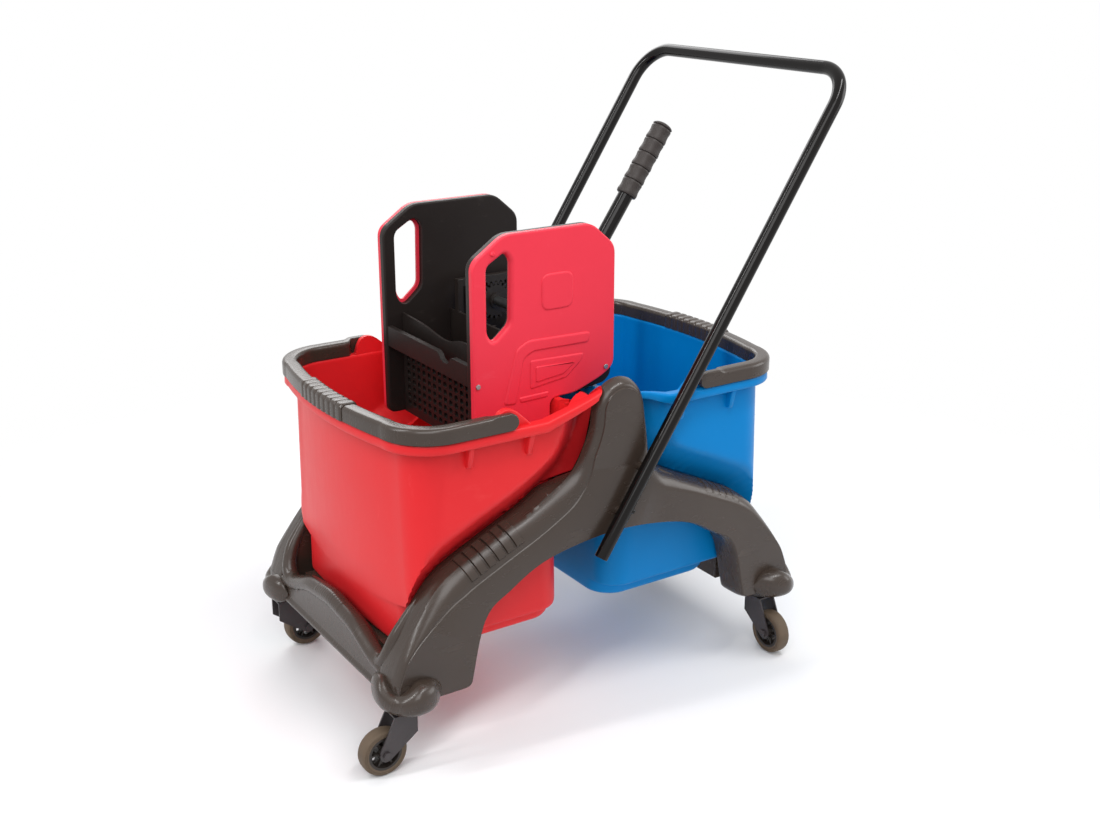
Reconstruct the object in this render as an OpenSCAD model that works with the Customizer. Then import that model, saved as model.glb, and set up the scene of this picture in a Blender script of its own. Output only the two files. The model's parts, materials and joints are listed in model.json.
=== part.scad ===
// Double mop bucket trolley: a moulded chassis on four swivel castors, a red and a
// blue lift-out bucket with bail handles, a lever wringer hung on the red bucket
// and a bent-tube push handle. Millimetres, X along the trolley (red bucket at -X),
// Y across it, Z up from the floor.

/* [Chassis] */
// Middle of the chassis to the end face of a foot
frame_half_l = 385; // [375:1:400]
// Middle of the trolley to the outer face of a side frame
frame_half_w = 245; // [243:1:250]
// Thickness of a side frame at its arms
frame_t = 55; // [50:1:60]
// Thickness of the tower that rises from each side frame
tower_t = 19; // [14:1:19]
// Floor to the underside of the feet
foot_z = 108; // [104:1:116]
// Height of the foot's end face above its underside
foot_h = 42; // [34:1:50]
// Length of a foot along the trolley
foot_l = 106; // [96:1:116]
// End of the chassis to the knee of an arm
knee_set = 97; // [90:1:104]
// Height of the knee
knee_z = 299; // [290:1:306]
// Middle of the chassis to the root of an arm
root_x = 108; // [100:1:114]
// Height of an arm at its root
root_z = 391; // [384:1:396]
// Rise of the saddle between the arms above their roots
saddle_rise = 14; // [8:1:18]
// Offset of the tower behind the middle of the chassis
tower_x = 20; // [14:1:22]
// Half width of the tower at the bucket rims
tower_half_w = 46; // [40:1:47]
// Height of the top of the tower
tower_z = 559; // [550:1:575]
// Height of the arch under a side frame
arch_z = 303; // [290:1:312]
// Rounding of the outer top edge of the arms
roll_r = 36; // [28:1:40]
// Depth of the flat outer face below the rounded rail
face_step = 2; // [1:0.5:3]

/* [Crossbeams] */
// Height of the hump in the middle of a crossbeam
hump_z = 205; // [195:1:215]
// Height of the dips beside the hump
dip_z = 169; // [160:1:180]
// Thickness of the upright wall of a crossbeam
beam_t = 30; // [26:1:34]
// Depth of the shelf behind that wall, which carries the bucket
shelf_l = 70; // [60:1:74]
// Gap between the shelf and a side frame
shelf_set = 28; // [20:1:40]
// Height of the shelf
shelf_z = 165; // [160:1:170]
// Number of grip ribs on the hump
rib_count = 11; // [5:2:15]
// Thickness of the bridge between the towers
bridge_t = 56; // [40:1:60]
// Height of the bridge
bridge_h = 118; // [80:1:125]

/* [Bumpers] */
// Reach of a corner bumper past the end of the chassis
bumper_end = 17; // [12:1:20]
// Reach of a corner bumper past the side of the chassis
bumper_side = 31; // [24:1:34]
// Length of the bumper along the end face
bumper_front_l = 62; // [54:1:66]
// Length of the bumper along the side face
bumper_side_l = 75; // [66:1:80]
// Height of a bumper
bumper_h = 49; // [42:1:54]

/* [Castors] */
// End of the chassis to the front swivel axes
castor_front_set = 19; // [16:1:26]
// End of the chassis to the rear swivel axes
castor_rear_set = 41; // [20:1:48]
// Outer face of a side frame to the swivel axes
castor_side_set = 24; // [20:1:30]
// Wheel diameter
wheel_d = 75; // [65:1:76]
// Wheel width
wheel_w = 24; // [20:1:28]
// Diameter where the tyre sits on the hub
hub_d = 55; // [48:1:58]
// Distance of the wheel axle behind the swivel axis
trail = 34; // [28:1:36]
// Diameter of the wheel axle
wheel_axle_d = 8; // [6:1:10]
// Diameter of the swivel stem
stem_d = 11; // [9:1:12]
// Outer diameter of the stem socket
socket_d = 19; // [16:1:20]
// Sheet thickness of the castor fork
fork_t = 2.5; // [2:0.5:3]
// Height of the crown of the fork above the floor
crown_z = 97; // [94:1:99]

/* [Push handle] */
// Diameter of the handle tube
tube_d = 22; // [20:1:25]
// Wall of the handle tube
tube_wall = 1.5; // [1:0.5:2]
// Lower end of the handle leg, along the trolley
handle_x = -31; // [-36:1:-26]
// Lower end of the handle leg above the floor
handle_z = 278; // [270:1:285]
// Lean of the handle from upright
handle_lean = 33.2; // [31:0.1:35]
// Length of a handle leg to the middle of the bar
handle_l = 859; // [820:1:900]
// Radius of the bends
handle_bend = 62; // [50:1:80]
// Width of the spacers between handle and side frame
spacer_w = 7; // [7:0.5:10]
// Distance of the lower handle bolt from the end of the leg
handle_bolt_1 = 78; // [70:1:84]
// Distance of the upper handle bolt from the end of the leg
handle_bolt_2 = 156; // [150:1:160]
// Diameter of the handle bolts
bolt_d = 8; // [6:1:10]

/* [Buckets] */
// Floor to the underside of a bucket
bucket_z = 140; // [132:1:148]
// Height of the rim's top
rim_z = 515; // [510:1:520]
// Depth of the rim's skirt
rim_h = 10; // [8:1:14]
// Width that the rim stands out from the wall
rim_w = 11; // [9:1:11]
// Outer face of a side frame to the bucket's wall at its top
bucket_side_set = 9; // [9:1:16]
// Inner face of a side frame to the bucket's wall at its seat on the rails
seat_set = 6; // [4:1:10]
// Inner face of a side frame to the bucket's wall at the bottom
base_set = 30; // [26:1:40]
// Inner wall of a bucket from the middle of the chassis
bucket_in = 46; // [46:1:52]
// End of the chassis to the outer wall of a bucket, at a corner
bucket_end_set = 40; // [39:1:50]
// Bow of the outer end
end_bow = 18; // [8:1:22]
// Corner radius at the inner end
in_r = 90; // [86:1:100]
// Corner radius at the outer end, at the rim
out_r = 58; // [45:1:70]
// Corner radius at the outer end, at the bottom
low_out_r = 26; // [20:1:34]
// Corner radius at the inner end of the red rim, which stands clear of the tower
red_top_r = 28; // [24:1:34]
// Rise of the red rim at its inner corners
red_rise = 41; // [30:1:44]
// Rise of the blue rim at its inner corners
blue_rise = 22; // [14:1:28]
// Wall thickness of the buckets
wall = 3.5; // [2.5:0.5:4]
// Height of the slanted band above the rail seat
band_h = 48; // [42:1:52]

/* [Bails] */
// Width of a bail across its gutter section
bail_w = 25; // [22:1:25]
// Height of a bail
bail_h = 24; // [20:1:26]
// Wall of the gutter section
bail_wall = 3; // [2.5:0.5:4]
// Pivot of a bail from the middle of the chassis
pivot_x = 183; // [176:1:190]
// Diameter of the bail pins
pin_d = 9; // [8:1:10]
// Length of the ribbed grip
grip_l = 150; // [120:2:170]
// Number of ribs on the grip
grip_ribs = 9; // [7:1:12]

/* [Wringer] */
// Inner face of a side panel from the middle of the trolley
panel_y = 133; // [128:1:136]
// Thickness of an inner side panel
panel_t = 12; // [10:1:13]
// Thickness of an outer cover
cover_t = 10; // [8:1:11]
// Front edge of the side panels
panel_front = -191; // [-196:1:-186]
// Rear edge of the side panels
panel_rear = 66; // [64:1:72]
// Height of the top of the side panels
panel_top = 783; // [770:1:790]
// Height of the lower end inside the bucket
panel_low = 432; // [426:1:440]
// Distance of the strainer plate behind the front edge
strainer_set = 30; // [26:1:40]
// Thickness of the strainer and press plates
plate_t = 5; // [4:0.5:6]
// Height of the strainer plate's top at its sides
strainer_z = 604; // [595:1:606]
// Hole columns of the strainer plate
hole_cols = 9; // [5:1:9]
// Hole rows of the strainer plate
hole_rows = 8; // [4:1:8]
// Pitch of the columns
hole_pitch_y = 27; // [26:0.5:28]
// Pitch of the rows
hole_pitch_z = 18.5; // [18:0.5:19]
// Width of a hole
hole_w = 20; // [16:0.5:21]
// Height of a hole
hole_h = 14; // [12:0.5:15]
// Height of the middle of the front band
band_z = 568; // [564:1:574]
// Height of the front band itself
band_w = 34; // [28:1:38]
// Thickness of the front band
band_t = 9; // [7:0.5:12]

/* [Press and lever] */
// Drive axle along the trolley
axle_x = 4; // [0:1:4]
// Drive axle above the floor
axle_z = 608; // [604:1:612]
// Diameter of the drive axle
axle_d = 16; // [14:1:18]
// Gear module of the pinions and racks
gear_m = 3; // [2.5:0.25:3]
// Teeth of a pinion
gear_teeth = 20; // [18:1:20]
// Face width of the pinions
gear_w = 12; // [10:1:14]
// Middle of a pinion from the middle of the trolley
gear_y = 110; // [106:1:112]
// Play between the flanks of pinion and rack
gear_play = 0.5; // [0.3:0.1:0.8]
// Swing of the lever from rest
lever_swing = 95; // [80:1:95]
// Lean of the lever at rest
lever_lean = 34.6; // [32:0.2:36]
// Lever's place across the trolley
lever_y = -80; // [-84:1:80]
// Diameter of the lever tube
lever_d = 25; // [22:1:26]
// Axle to the tip of the lever
lever_l = 368; // [350:1:390]
// Length of the hand grip
hand_grip_l = 131; // [120:1:140]
// Diameter of the hand grip
hand_grip_d = 34; // [31:1:36]
// Front face of the press plate at rest
press_x = -70; // [-76:1:-68]

/* [Fits] */
// Clearance between pieces that seat on or pass each other
gap = 0.4; // [0.3:0.1:0.5]
// Radial clearance of pins and shafts in their holes
fit = 0.03; // [0.02:0.01:0.05]

/* [Hidden] */
$fn = 48;

dark_plastic = "#554b44";
black_steel = "#2a2422";
red_plastic = "#d8232a";
blue_plastic = "#007bc2";
tyre_grey = "#8a7a68";
bright_steel = "#b8bcc0";

frame_in = frame_half_w - frame_t;
knee_x = frame_half_l - knee_set;
castor_front_x = frame_half_l - castor_front_set;
castor_rear_x = frame_half_l - castor_rear_set;
castor_y = frame_half_w - castor_side_set;
shelf_half_w = frame_in - shelf_set;
bucket_half_w = frame_half_w - bucket_side_set;
seat_half_w = frame_in - seat_set;
base_half_w = frame_in - base_set;
bucket_out = frame_half_l - bucket_end_set;
// Castors: front right, front left, rear right, rear left, each with the heading
// in which its wheel trails at rest
castor_at = [[-castor_front_x, -castor_y], [-castor_front_x, castor_y],
    [castor_rear_x, -castor_y], [castor_rear_x, castor_y]];
castor_heading = [180, 0, -90, 90];
handle_y = frame_half_w + spacer_w + tube_d / 2;
handle_dir = [sin(handle_lean), 0, cos(handle_lean)];
wheel_reach = castor_front_x + trail + wheel_d / 2;
handle_reach = handle_x + handle_l * sin(handle_lean) + tube_d / 2;
// The origin lies on the floor under the middle of the whole trolley
origin_x = (wheel_reach - handle_reach) / 2;

rim_half_w = bucket_half_w + rim_w;
rim_in = bucket_in - rim_w;
pivot_z = rim_z + gap + bail_h / 2 + 1;
eye_r = pivot_z - rim_z - gap;
ear_t = 10;
eye_in = bucket_half_w + gap;
bail_y = rim_half_w + 2.5 - bail_w / 2;
seat_gap = gap + 1.8;

gear_r = gear_m * gear_teeth / 2;
tooth_top = 0.9 * gear_m;
tooth_root = 1.15 * gear_m;
rack_pitch = PI * gear_m;
stroke = gear_r * lever_swing * PI / 180;
rack_h = 12;
rack_z = axle_z + gear_r + tooth_root;
panel_out = panel_y + panel_t;
cover_out = panel_out + cover_t;
strainer_x = panel_front + strainer_set;

// Smooth curve through the given points
function curve_at(a, b, c, d, t) =
    0.5 * (2 * b + (c - a) * t + (2 * a - 5 * b + 4 * c - d) * t * t
    + (3 * b - a - 3 * c + d) * t * t * t);
function curve(pts, n) = let (last = len(pts) - 1)
    concat([for (i = [0:last - 1]) for (k = [0:n - 1])
        curve_at(pts[max(i - 1, 0)], pts[i], pts[i + 1], pts[min(i + 2, last)], k / n)],
        [pts[last]]);
function arc(c, r, from, to, n) =
    [for (k = [0:n]) let (a = from + (to - from) * k / n) [c[0] + r * cos(a), c[1] + r * sin(a)]];
function reversed(v) = [for (i = [len(v) - 1:-1:0]) v[i]];
// Unit normal that points into a ring that runs anticlockwise
function inward(ring, i) = let (n = len(ring),
    t = ring[(i + 1) % n] - ring[(i + n - 1) % n], l = norm(t)) [-t[1] / l, t[0] / l];

// Triangles of a flat ring, cut off ear by ear
function turn(a, b, c) = (b[0] - a[0]) * (c[1] - a[1]) - (b[1] - a[1]) * (c[0] - a[0]);
function holds(a, b, c, q) = q != a && q != b && q != c
    && turn(a, b, q) >= 0 && turn(b, c, q) >= 0 && turn(c, a, q) >= 0;
function is_ear(pts, v, i) = let (n = len(v), a = pts[v[(i + n - 1) % n]], b = pts[v[i]],
        c = pts[v[(i + 1) % n]])
    turn(a, b, c) > 0.01 && len([for (j = v) if (holds(a, b, c, pts[j])) j]) == 0;
function first_ear(pts, v, i) = i >= len(v) - 1 || is_ear(pts, v, i) ? i : first_ear(pts, v, i + 1);
function ears(pts, v) = len(v) == 3 ? [v] : let (n = len(v), k = first_ear(pts, v, 0))
    concat([[v[(k + n - 1) % n], v[k], v[(k + 1) % n]]], ears(pts, [for (i = [0:n - 1]) if (i != k) v[i]]));
// The same ring as points of its own plane, anticlockwise
function flat(ring) = let (n = len(ring),
        span = [for (k = [0:2]) let (c = [for (p = ring) p[k]]) max(c) - min(c)],
        drop = span[0] < 0.01 ? 0 : span[1] < 0.01 ? 1 : 2,
        pts = [for (p = ring) [p[(drop + 1) % 3], p[(drop + 2) % 3]]],
        twice_area = [for (i = [0:n - 1]) turn([0, 0], pts[i], pts[(i + 1) % n])] * [for (p = pts) 1])
    twice_area > 0 ? pts : [for (p = pts) [-p[0], p[1]]];

// Closed skin through rings of equal point count, anticlockwise about their travel
module skin(rings) {
    n = len(rings[0]);
    m = len(rings);
    points = [for (r = rings) for (p = r) p];
    order = [for (i = [0:n - 1]) i];
    sides = [for (j = [0:m - 2]) for (i = [0:n - 1]) for (half = [0, 1])
        let (a = j * n + i, b = j * n + (i + 1) % n)
        half == 0 ? [a, a + n, b + n] : [a, b + n, b]];
    first = ears(flat(rings[0]), order);
    last = [for (f = ears(flat(rings[m - 1]), order)) [for (i = reversed(f)) (m - 1) * n + i]];
    polyhedron(points, concat(first, sides, last));
}

// Top edge of an arm from its foot to its root, x counted from the middle
arm_edge = [[frame_half_l, foot_z + foot_h], [frame_half_l - 19, foot_z + 2.1 * foot_h],
    [knee_x + 40, knee_z - 43], [knee_x, knee_z], [(knee_x + root_x) / 2 + 18, knee_z + 37],
    [root_x + 35, root_z - 21], [root_x, root_z]];
function to_front(pts) = reversed([for (p = pts) [-p[0], p[1]]]);
tower_rear = tower_x + tower_half_w;
tower_front = tower_x - tower_half_w;
tower_edge = [[tower_rear + 17, root_z + 42], [tower_rear + 9, root_z + 84],
    [tower_rear, tower_z - 34], [tower_rear - 18, tower_z - 9], [tower_x, tower_z],
    [tower_front + 18, tower_z - 9], [tower_front, tower_z - 34], [tower_front - 7, root_z + 89],
    [tower_front - 30, root_z + 40]];
// The saddle has as many points as the tower's edge, so that one skin joins the two
saddle_edge = [for (k = [1:len(tower_edge)]) let (t = 1 - 2 * k / (len(tower_edge) + 1))
    [root_x * t, root_z + saddle_rise * (1 - t * t)]];
// Under edge of a side frame: two feet with the arch between them
arch_x = frame_half_l - foot_l;
arch_edge = [[-arch_x, foot_z], [-arch_x + 14, foot_z + 12], [-arch_x + 39, foot_z + 109],
    [-arch_x + 80, arch_z - 52], [-arch_x + 153, arch_z - 16], [0, arch_z],
    [arch_x - 153, arch_z - 16], [arch_x - 80, arch_z - 52], [arch_x - 39, foot_z + 109],
    [arch_x - 14, foot_z + 12], [arch_x, foot_z]];
under_ring = concat([[-frame_half_l, foot_z]], curve(arch_edge, 3), [[frame_half_l, foot_z]]);
outer_top = curve(concat(arm_edge, tower_edge, [[-root_x + 18, root_z + 10]],
    to_front([for (i = [0:len(arm_edge) - 2]) arm_edge[i]])), 3);
saddle_top = curve(concat(arm_edge, saddle_edge, to_front(arm_edge)), 3);
// Height of the rail on which the buckets sit
saddle_table = reversed(saddle_top);
function rail_z(x) = lookup(x, saddle_table);

// Ring of a side frame at one depth, with its top edge drawn in by the rounding
function frame_ring(top, y, arm_in, tower_in) =
    let (ring = concat(under_ring, top), n = len(under_ring))
    [for (i = [0:len(ring) - 1]) let (p = ring[i],
        foot = max(0.18, min(1, (frame_half_l - abs(p[0])) / 100)),
        up = max(0, min(1, (p[1] - root_z - 5) / 55)),
        d = i < n ? arm_in * 0.18 : foot * (arm_in + (tower_in - arm_in) * up),
        q = p + d * inward(ring, i)) [q[0], y, q[1]]];

module side_frame() {
    roll = [[tower_t, 0.12], [12, 0.24], [7, 0.4], [3, 0.62], [0, 0.95], [face_step, 1.03]];
    inner = [[frame_t, 0.08], [frame_t - 4, 0], [36, 0], [27, 0.04], [tower_t + 0.2, 0.12]];
    tower_share = 0.5;
    difference() {
        skin(concat(
            [for (s = inner) frame_ring(saddle_top, -frame_half_w + s[0], roll_r * s[1], roll_r * s[1])],
            [for (s = roll) frame_ring(outer_top, -frame_half_w + s[0], roll_r * s[1],
                roll_r * tower_share * s[1])]));
        for (c = [castor_at[0], castor_at[2]])
            translate([c[0], c[1], foot_z - 1])
                cylinder(h = socket_h + 1 + gap, d = socket_d + 2 * fit);
        // Handle bolts, with their heads sunk from the inside
        for (s = [handle_bolt_1, handle_bolt_2])
            translate([handle_x + s * handle_dir[0], -frame_half_w, handle_z + s * handle_dir[2]])
                rotate([-90, 0, 0]) {
                    translate([0, 0, -1])
                        cylinder(h = frame_t + 2, d = bolt_d + 2 * fit);
                    translate([0, 0, tower_t])
                        cylinder(h = frame_t, d = bolt_head_d + 2 * gap);
                }
        for (e = [-1, 1])
            translate([e * beam_bolt_x, -frame_half_w - 1, beam_bolt_z])
                rotate([-90, 0, 0])
                    cylinder(h = frame_t + 2, d = bolt_d + 2 * fit);
    }
}
socket_h = 46;
bolt_head_d = 1.7 * bolt_d;
beam_bolt_x = frame_half_l - beam_t / 2;
// The frame bolts pass over the castor sockets
beam_bolt_z = foot_z + socket_h + bolt_d / 2 + 2;

module side_frame_right() color(dark_plastic) side_frame();
module side_frame_left() color(dark_plastic) mirror([0, 1, 0]) side_frame();

// Crossbeam at the rear end: upright wall with a humped edge, and the bucket shelf
module crossbeam() {
    low = foot_z + 8;
    half = [[0, hump_z], [0.21 * frame_in, hump_z - 4], [0.46 * frame_in, hump_z - 11],
        [0.66 * frame_in, dip_z + 11], [0.84 * frame_in, dip_z], [0.94 * frame_in, dip_z + 3],
        [frame_in, dip_z + 13]];
    edge = curve(concat(reversed(half), [for (i = [1:len(half) - 1]) [-half[i][0], half[i][1]]]), 3);
    ring = concat([[-frame_in, low], [frame_in, low]], edge);
    round_in = [[0, 9], [2.5, 4], [7, 0], [beam_t - 5, 0], [beam_t, 4]];
    difference() {
        union() {
            skin([for (s = reversed(round_in)) [for (i = [0:len(ring) - 1])
                [frame_half_l - s[0], ring[i][0], ring[i][1] - (i > 1 ? s[1] : 0)]]]);
            translate([frame_half_l - beam_t - shelf_l, -shelf_half_w, low])
                cube([shelf_l + 1, 2 * shelf_half_w, shelf_z - low]);
            for (i = [0:rib_count - 1])
                translate([frame_half_l - 3, (i - (rib_count - 1) / 2) * rib_pitch, hump_z - 22])
                    cylinder(h = 20, d = rib_pitch * 0.55, $fn = 16);
        }
        // Hollow under the shelf
        translate([frame_half_l - beam_t - shelf_l + 4, -shelf_half_w + 4, low - 1])
            cube([shelf_l - 4, 2 * shelf_half_w - 8, shelf_z - low - 3]);
        for (e = [-1, 1])
            translate([beam_bolt_x, e * (frame_in - 30), beam_bolt_z])
                rotate([e * -90, 0, 0])
                    cylinder(h = 31, d = bolt_d + 2 * fit);
    }
}
rib_pitch = 8;

module rear_crossbeam() color(dark_plastic) crossbeam();
module front_crossbeam() color(dark_plastic) mirror([1, 0, 0]) crossbeam();

// Bridge between the two side frames, hidden between the buckets
module centre_bridge() {
    top = root_z + saddle_rise - 6;
    color(dark_plastic) difference() {
        translate([-bridge_t / 2, -frame_in, top - bridge_h])
            cube([bridge_t, 2 * frame_in, bridge_h]);
        for (y = [-1:1])
            translate([-bridge_t / 2 + 4, y * frame_in * 0.64 - frame_in * 0.28, top - bridge_h - 1])
                cube([bridge_t - 8, frame_in * 0.56, bridge_h - 5]);
    }
}

// Rounded pads wrapped round the four corners of the chassis
module corner_bumpers() {
    x = frame_half_l;
    y = frame_half_w;
    outer = curve([[x, -y + bumper_front_l], [x + bumper_end * 0.8, -y + bumper_front_l * 0.72],
        [x + bumper_end, -y + bumper_front_l * 0.36], [x + bumper_end * 0.8, -y + 4],
        [x + bumper_end * 0.2, -y - bumper_side * 0.16], [x - 5, -y - bumper_side * 0.7],
        [x - bumper_side_l * 0.35, -y - bumper_side], [x - bumper_side_l * 0.72, -y - bumper_side * 0.72],
        [x - bumper_side_l, -y]], 3);
    levels = [[0, 0.5], [4, 0.2], [12, 0], [bumper_h - 14, 0], [bumper_h - 5, 0.22], [bumper_h, 0.6]];
    color(dark_plastic) for (mx = [0, 1]) for (my = [0, 1])
        mirror([mx, 0, 0]) mirror([0, my, 0])
            difference() {
                skin([for (s = levels) [for (p = reversed(outer))
                    let (q = p + s[1] * ([x - 20, -y + 20] - p) * 0.35)
                    [q[0], q[1], foot_z - 6 + s[0]]]]);
                translate([0, -y, foot_z - bumper_h])
                    cube([x, y, 3 * bumper_h]);
            }
}

// Flanged sleeves in the feet, in which the castor stems turn
module castor_sockets() {
    color(black_steel) for (c = castor_at)
        translate([c[0], c[1], 0])
            difference() {
                union() {
                    translate([0, 0, foot_z])
                        cylinder(h = socket_h, d = socket_d);
                    translate([0, 0, crown_z + gap])
                        cylinder(h = foot_z - crown_z - gap, d = crown_d);
                }
                translate([0, 0, crown_z])
                    cylinder(h = socket_h + 40, d = stem_d + 2 * fit);
            }
}
crown_d = 36;

module frame_bolts() {
    color(black_steel) for (mx = [0, 1]) for (my = [0, 1])
        mirror([mx, 0, 0]) mirror([0, my, 0])
            translate([beam_bolt_x, -frame_half_w + 2 * face_step, beam_bolt_z])
                rotate([-90, 0, 0])
                    cylinder(h = frame_t - 2 * face_step + 25, d = bolt_d);
}

// Places a castor piece that is drawn with its wheel trailing along +X
module at_castor(i) {
    translate([castor_at[i][0], castor_at[i][1], 0])
        rotate([0, 0, castor_heading[i]])
            children();
}
cheek_in = wheel_w / 2 + 2;
cheek_half = 19;

module castor_fork(i) {
    r = wheel_d / 2;
    top = crown_z - fork_t;
    color(black_steel) at_castor(i) difference() {
        union() {
            translate([0, 0, top])
                cylinder(h = fork_t, d = crown_d);
            translate([-cheek_half, -cheek_in - fork_t, top])
                cube([2 * cheek_half, 2 * (cheek_in + fork_t), fork_t]);
            translate([0, 0, top])
                cylinder(h = foot_z + socket_h - 4 - top, d = stem_d);
            for (e = [-1, 1])
                translate([0, e > 0 ? cheek_in + fork_t : -cheek_in, 0])
                    rotate([90, 0, 0])
                        linear_extrude(fork_t) {
                            polygon([[-cheek_half, crown_z - fork_t / 2], [cheek_half, crown_z - fork_t / 2],
                                [trail + 11, r + 6], [trail + 4, r - 8], [trail - 8, r - 8],
                                [-cheek_half, top - 32]]);
                            translate([trail, r])
                                circle(r = 11);
                        }
        }
        translate([trail, 0, r])
            rotate([90, 0, 0])
                cylinder(h = 3 * wheel_w, d = wheel_axle_d + 2 * fit, center = true);
    }
}

module wheel_axle(i) {
    half = cheek_in + fork_t;
    color(bright_steel) at_castor(i) translate([trail, 0, wheel_d / 2])
        rotate([90, 0, 0]) {
            cylinder(h = 2 * half + 2, d = wheel_axle_d, center = true);
            translate([0, 0, half])
                cylinder(h = 4, d = 1.7 * wheel_axle_d, $fn = 6);
            translate([0, 0, -half - 4])
                cylinder(h = 4, d = 1.7 * wheel_axle_d, $fn = 6);
        }
}

module wheel_hub(i) {
    rim = hub_d / 2;
    boss = cheek_in - gap;
    color("#3b332e") at_castor(i) translate([trail, 0, wheel_d / 2])
        rotate([90, 0, 0])
            difference() {
                union() {
                    rotate_extrude()
                        polygon([[wheel_axle_d / 2 + fit, -boss], [9, -boss], [10, -4], [rim - 6, -3],
                            [rim - 4, -wheel_w / 2 + 1], [rim, -wheel_w / 2 + 1], [rim, wheel_w / 2 - 1],
                            [rim - 4, wheel_w / 2 - 1], [rim - 6, 3], [10, 4], [9, boss],
                            [wheel_axle_d / 2 + fit, boss]]);
                    for (a = [0:60:300])
                        rotate([0, 0, a])
                            translate([8, -1.5, -8])
                                cube([rim - 12, 3, 16]);
                }
                for (a = [30:60:330])
                    rotate([0, 0, a])
                        translate([(rim + 4) / 2, 0, 0])
                            cylinder(h = wheel_w, d = 10.5, center = true);
            }
}

module tyre(i) {
    r = wheel_d / 2;
    h = wheel_w / 2;
    side = [[hub_d / 2, -h + 1], [r - 6, -h], [r - 3, -h + 1.2], [r - 1, -h + 3.5], [r, -h + 7]];
    color(tyre_grey) at_castor(i) translate([trail, 0, r])
        rotate([90, 0, 0])
            rotate_extrude($fn = 96)
                polygon(concat(side, reversed([for (p = side) [p[0], -p[1]]])));
}

// Bent tube of the push handle, drawn upright and then leaned to the rear
module handle_tube(d, extra) {
    straight = handle_l - handle_bend;
    side = handle_y - handle_bend;
    for (e = [0, 1])
        mirror([0, e, 0]) {
            translate([0, handle_y, -extra])
                cylinder(h = straight + extra, d = d);
            translate([0, side, straight])
                rotate([90, 0, 90])
                    rotate_extrude(angle = 90)
                        translate([handle_bend, 0])
                            circle(d = d);
        }
    translate([0, side, handle_l])
        rotate([90, 0, 0])
            cylinder(h = 2 * side, d = d);
}

module lean_handle() {
    translate([handle_x, 0, handle_z])
        rotate([0, handle_lean, 0])
            children();
}

module push_handle() {
    color(black_steel) lean_handle() difference() {
        handle_tube(tube_d, 0);
        handle_tube(tube_d - 2 * tube_wall, 1);
        for (e = [-1, 1])
            for (s = [handle_bolt_1, handle_bolt_2])
                translate([0, e * (handle_y - tube_d), s])
                    rotate([-90 * e, 0, 0])
                        cylinder(h = tube_d, d = bolt_d + 2 * fit);
    }
}

module handle_spacers() {
    spacer_d = 18;
    face = frame_half_w - face_step;
    color(dark_plastic) lean_handle() for (e = [0, 1]) mirror([0, e, 0])
        for (s = [handle_bolt_1, handle_bolt_2])
            difference() {
                translate([0, face, s])
                    rotate([-90, 0, 0])
                        cylinder(h = handle_y - face, d = spacer_d);
                translate([0, handle_y, s - spacer_d])
                    cylinder(h = 2 * spacer_d, d = tube_d);
                translate([0, face - 1, s])
                    rotate([-90, 0, 0])
                        cylinder(h = handle_y, d = bolt_d + 2 * fit);
            }
}

module handle_bolts() {
    head_h = 5;
    color(bright_steel) lean_handle() for (e = [0, 1]) mirror([0, e, 0])
        for (s = [handle_bolt_1, handle_bolt_2])
            translate([0, frame_half_w - tower_t - head_h, s])
                rotate([-90, 0, 0]) {
                    cylinder(h = head_h, d = bolt_head_d, $fn = 6);
                    cylinder(h = head_h + tower_t + spacer_w + tube_wall + 5, d = bolt_d);
                }
}

// Plan of a bucket at one level: inner end square on, outer end bowed
function plan(xi, xo, w, ri, ro, bow) = concat(
    [for (k = [1:7]) [xi + ri + (xo - ro - xi - ri) * k / 8, -w]],
    arc([xo - ro, -w + ro], ro, -90, 0, 5),
    [for (k = [1:5]) let (t = -1 + k / 3) [xo + bow * (1 - t * t), (w - ro) * t]],
    arc([xo - ro, w - ro], ro, 0, 90, 5),
    [for (k = [7:-1:1]) [xi + ri + (xo - ro - xi - ri) * k / 8, w]],
    arc([xi + ri, w - ri], ri, 90, 180, 5),
    [for (t = [0.9, 0.79, -0.79, -0.9]) [xi, (w - ri) * t]],
    arc([xi + ri, -w + ri], ri, 180, 270, 5));
// Rise of the rim towards its inner corners, outside the place of the wringer
rise_from = 98;
wringer_clear = 168;
function rim_rise(p, high) = let (along = min(1, max(0, (rise_from - p[0]) / (rise_from - rim_in))),
        across = min(1, max(0, (abs(p[1]) - wringer_clear) / 45)))
    high * pow(along, 1.3) * across * across * (3 - 2 * across);
// Rings of a bucket: level, inner end, outer end, half width, inner and outer corner
// radius, bow, whether the level is counted from the rail, and rise at the inner corners
function level(z, xi, xo, w, ri, ro, bow, on_rail, high = 0) =
    [for (p = plan(xi, xo, w, ri, ro, bow)) [p[0], p[1], (on_rail ? rail_z(p[0]) : rim_rise(p, high)) + z]];

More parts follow.
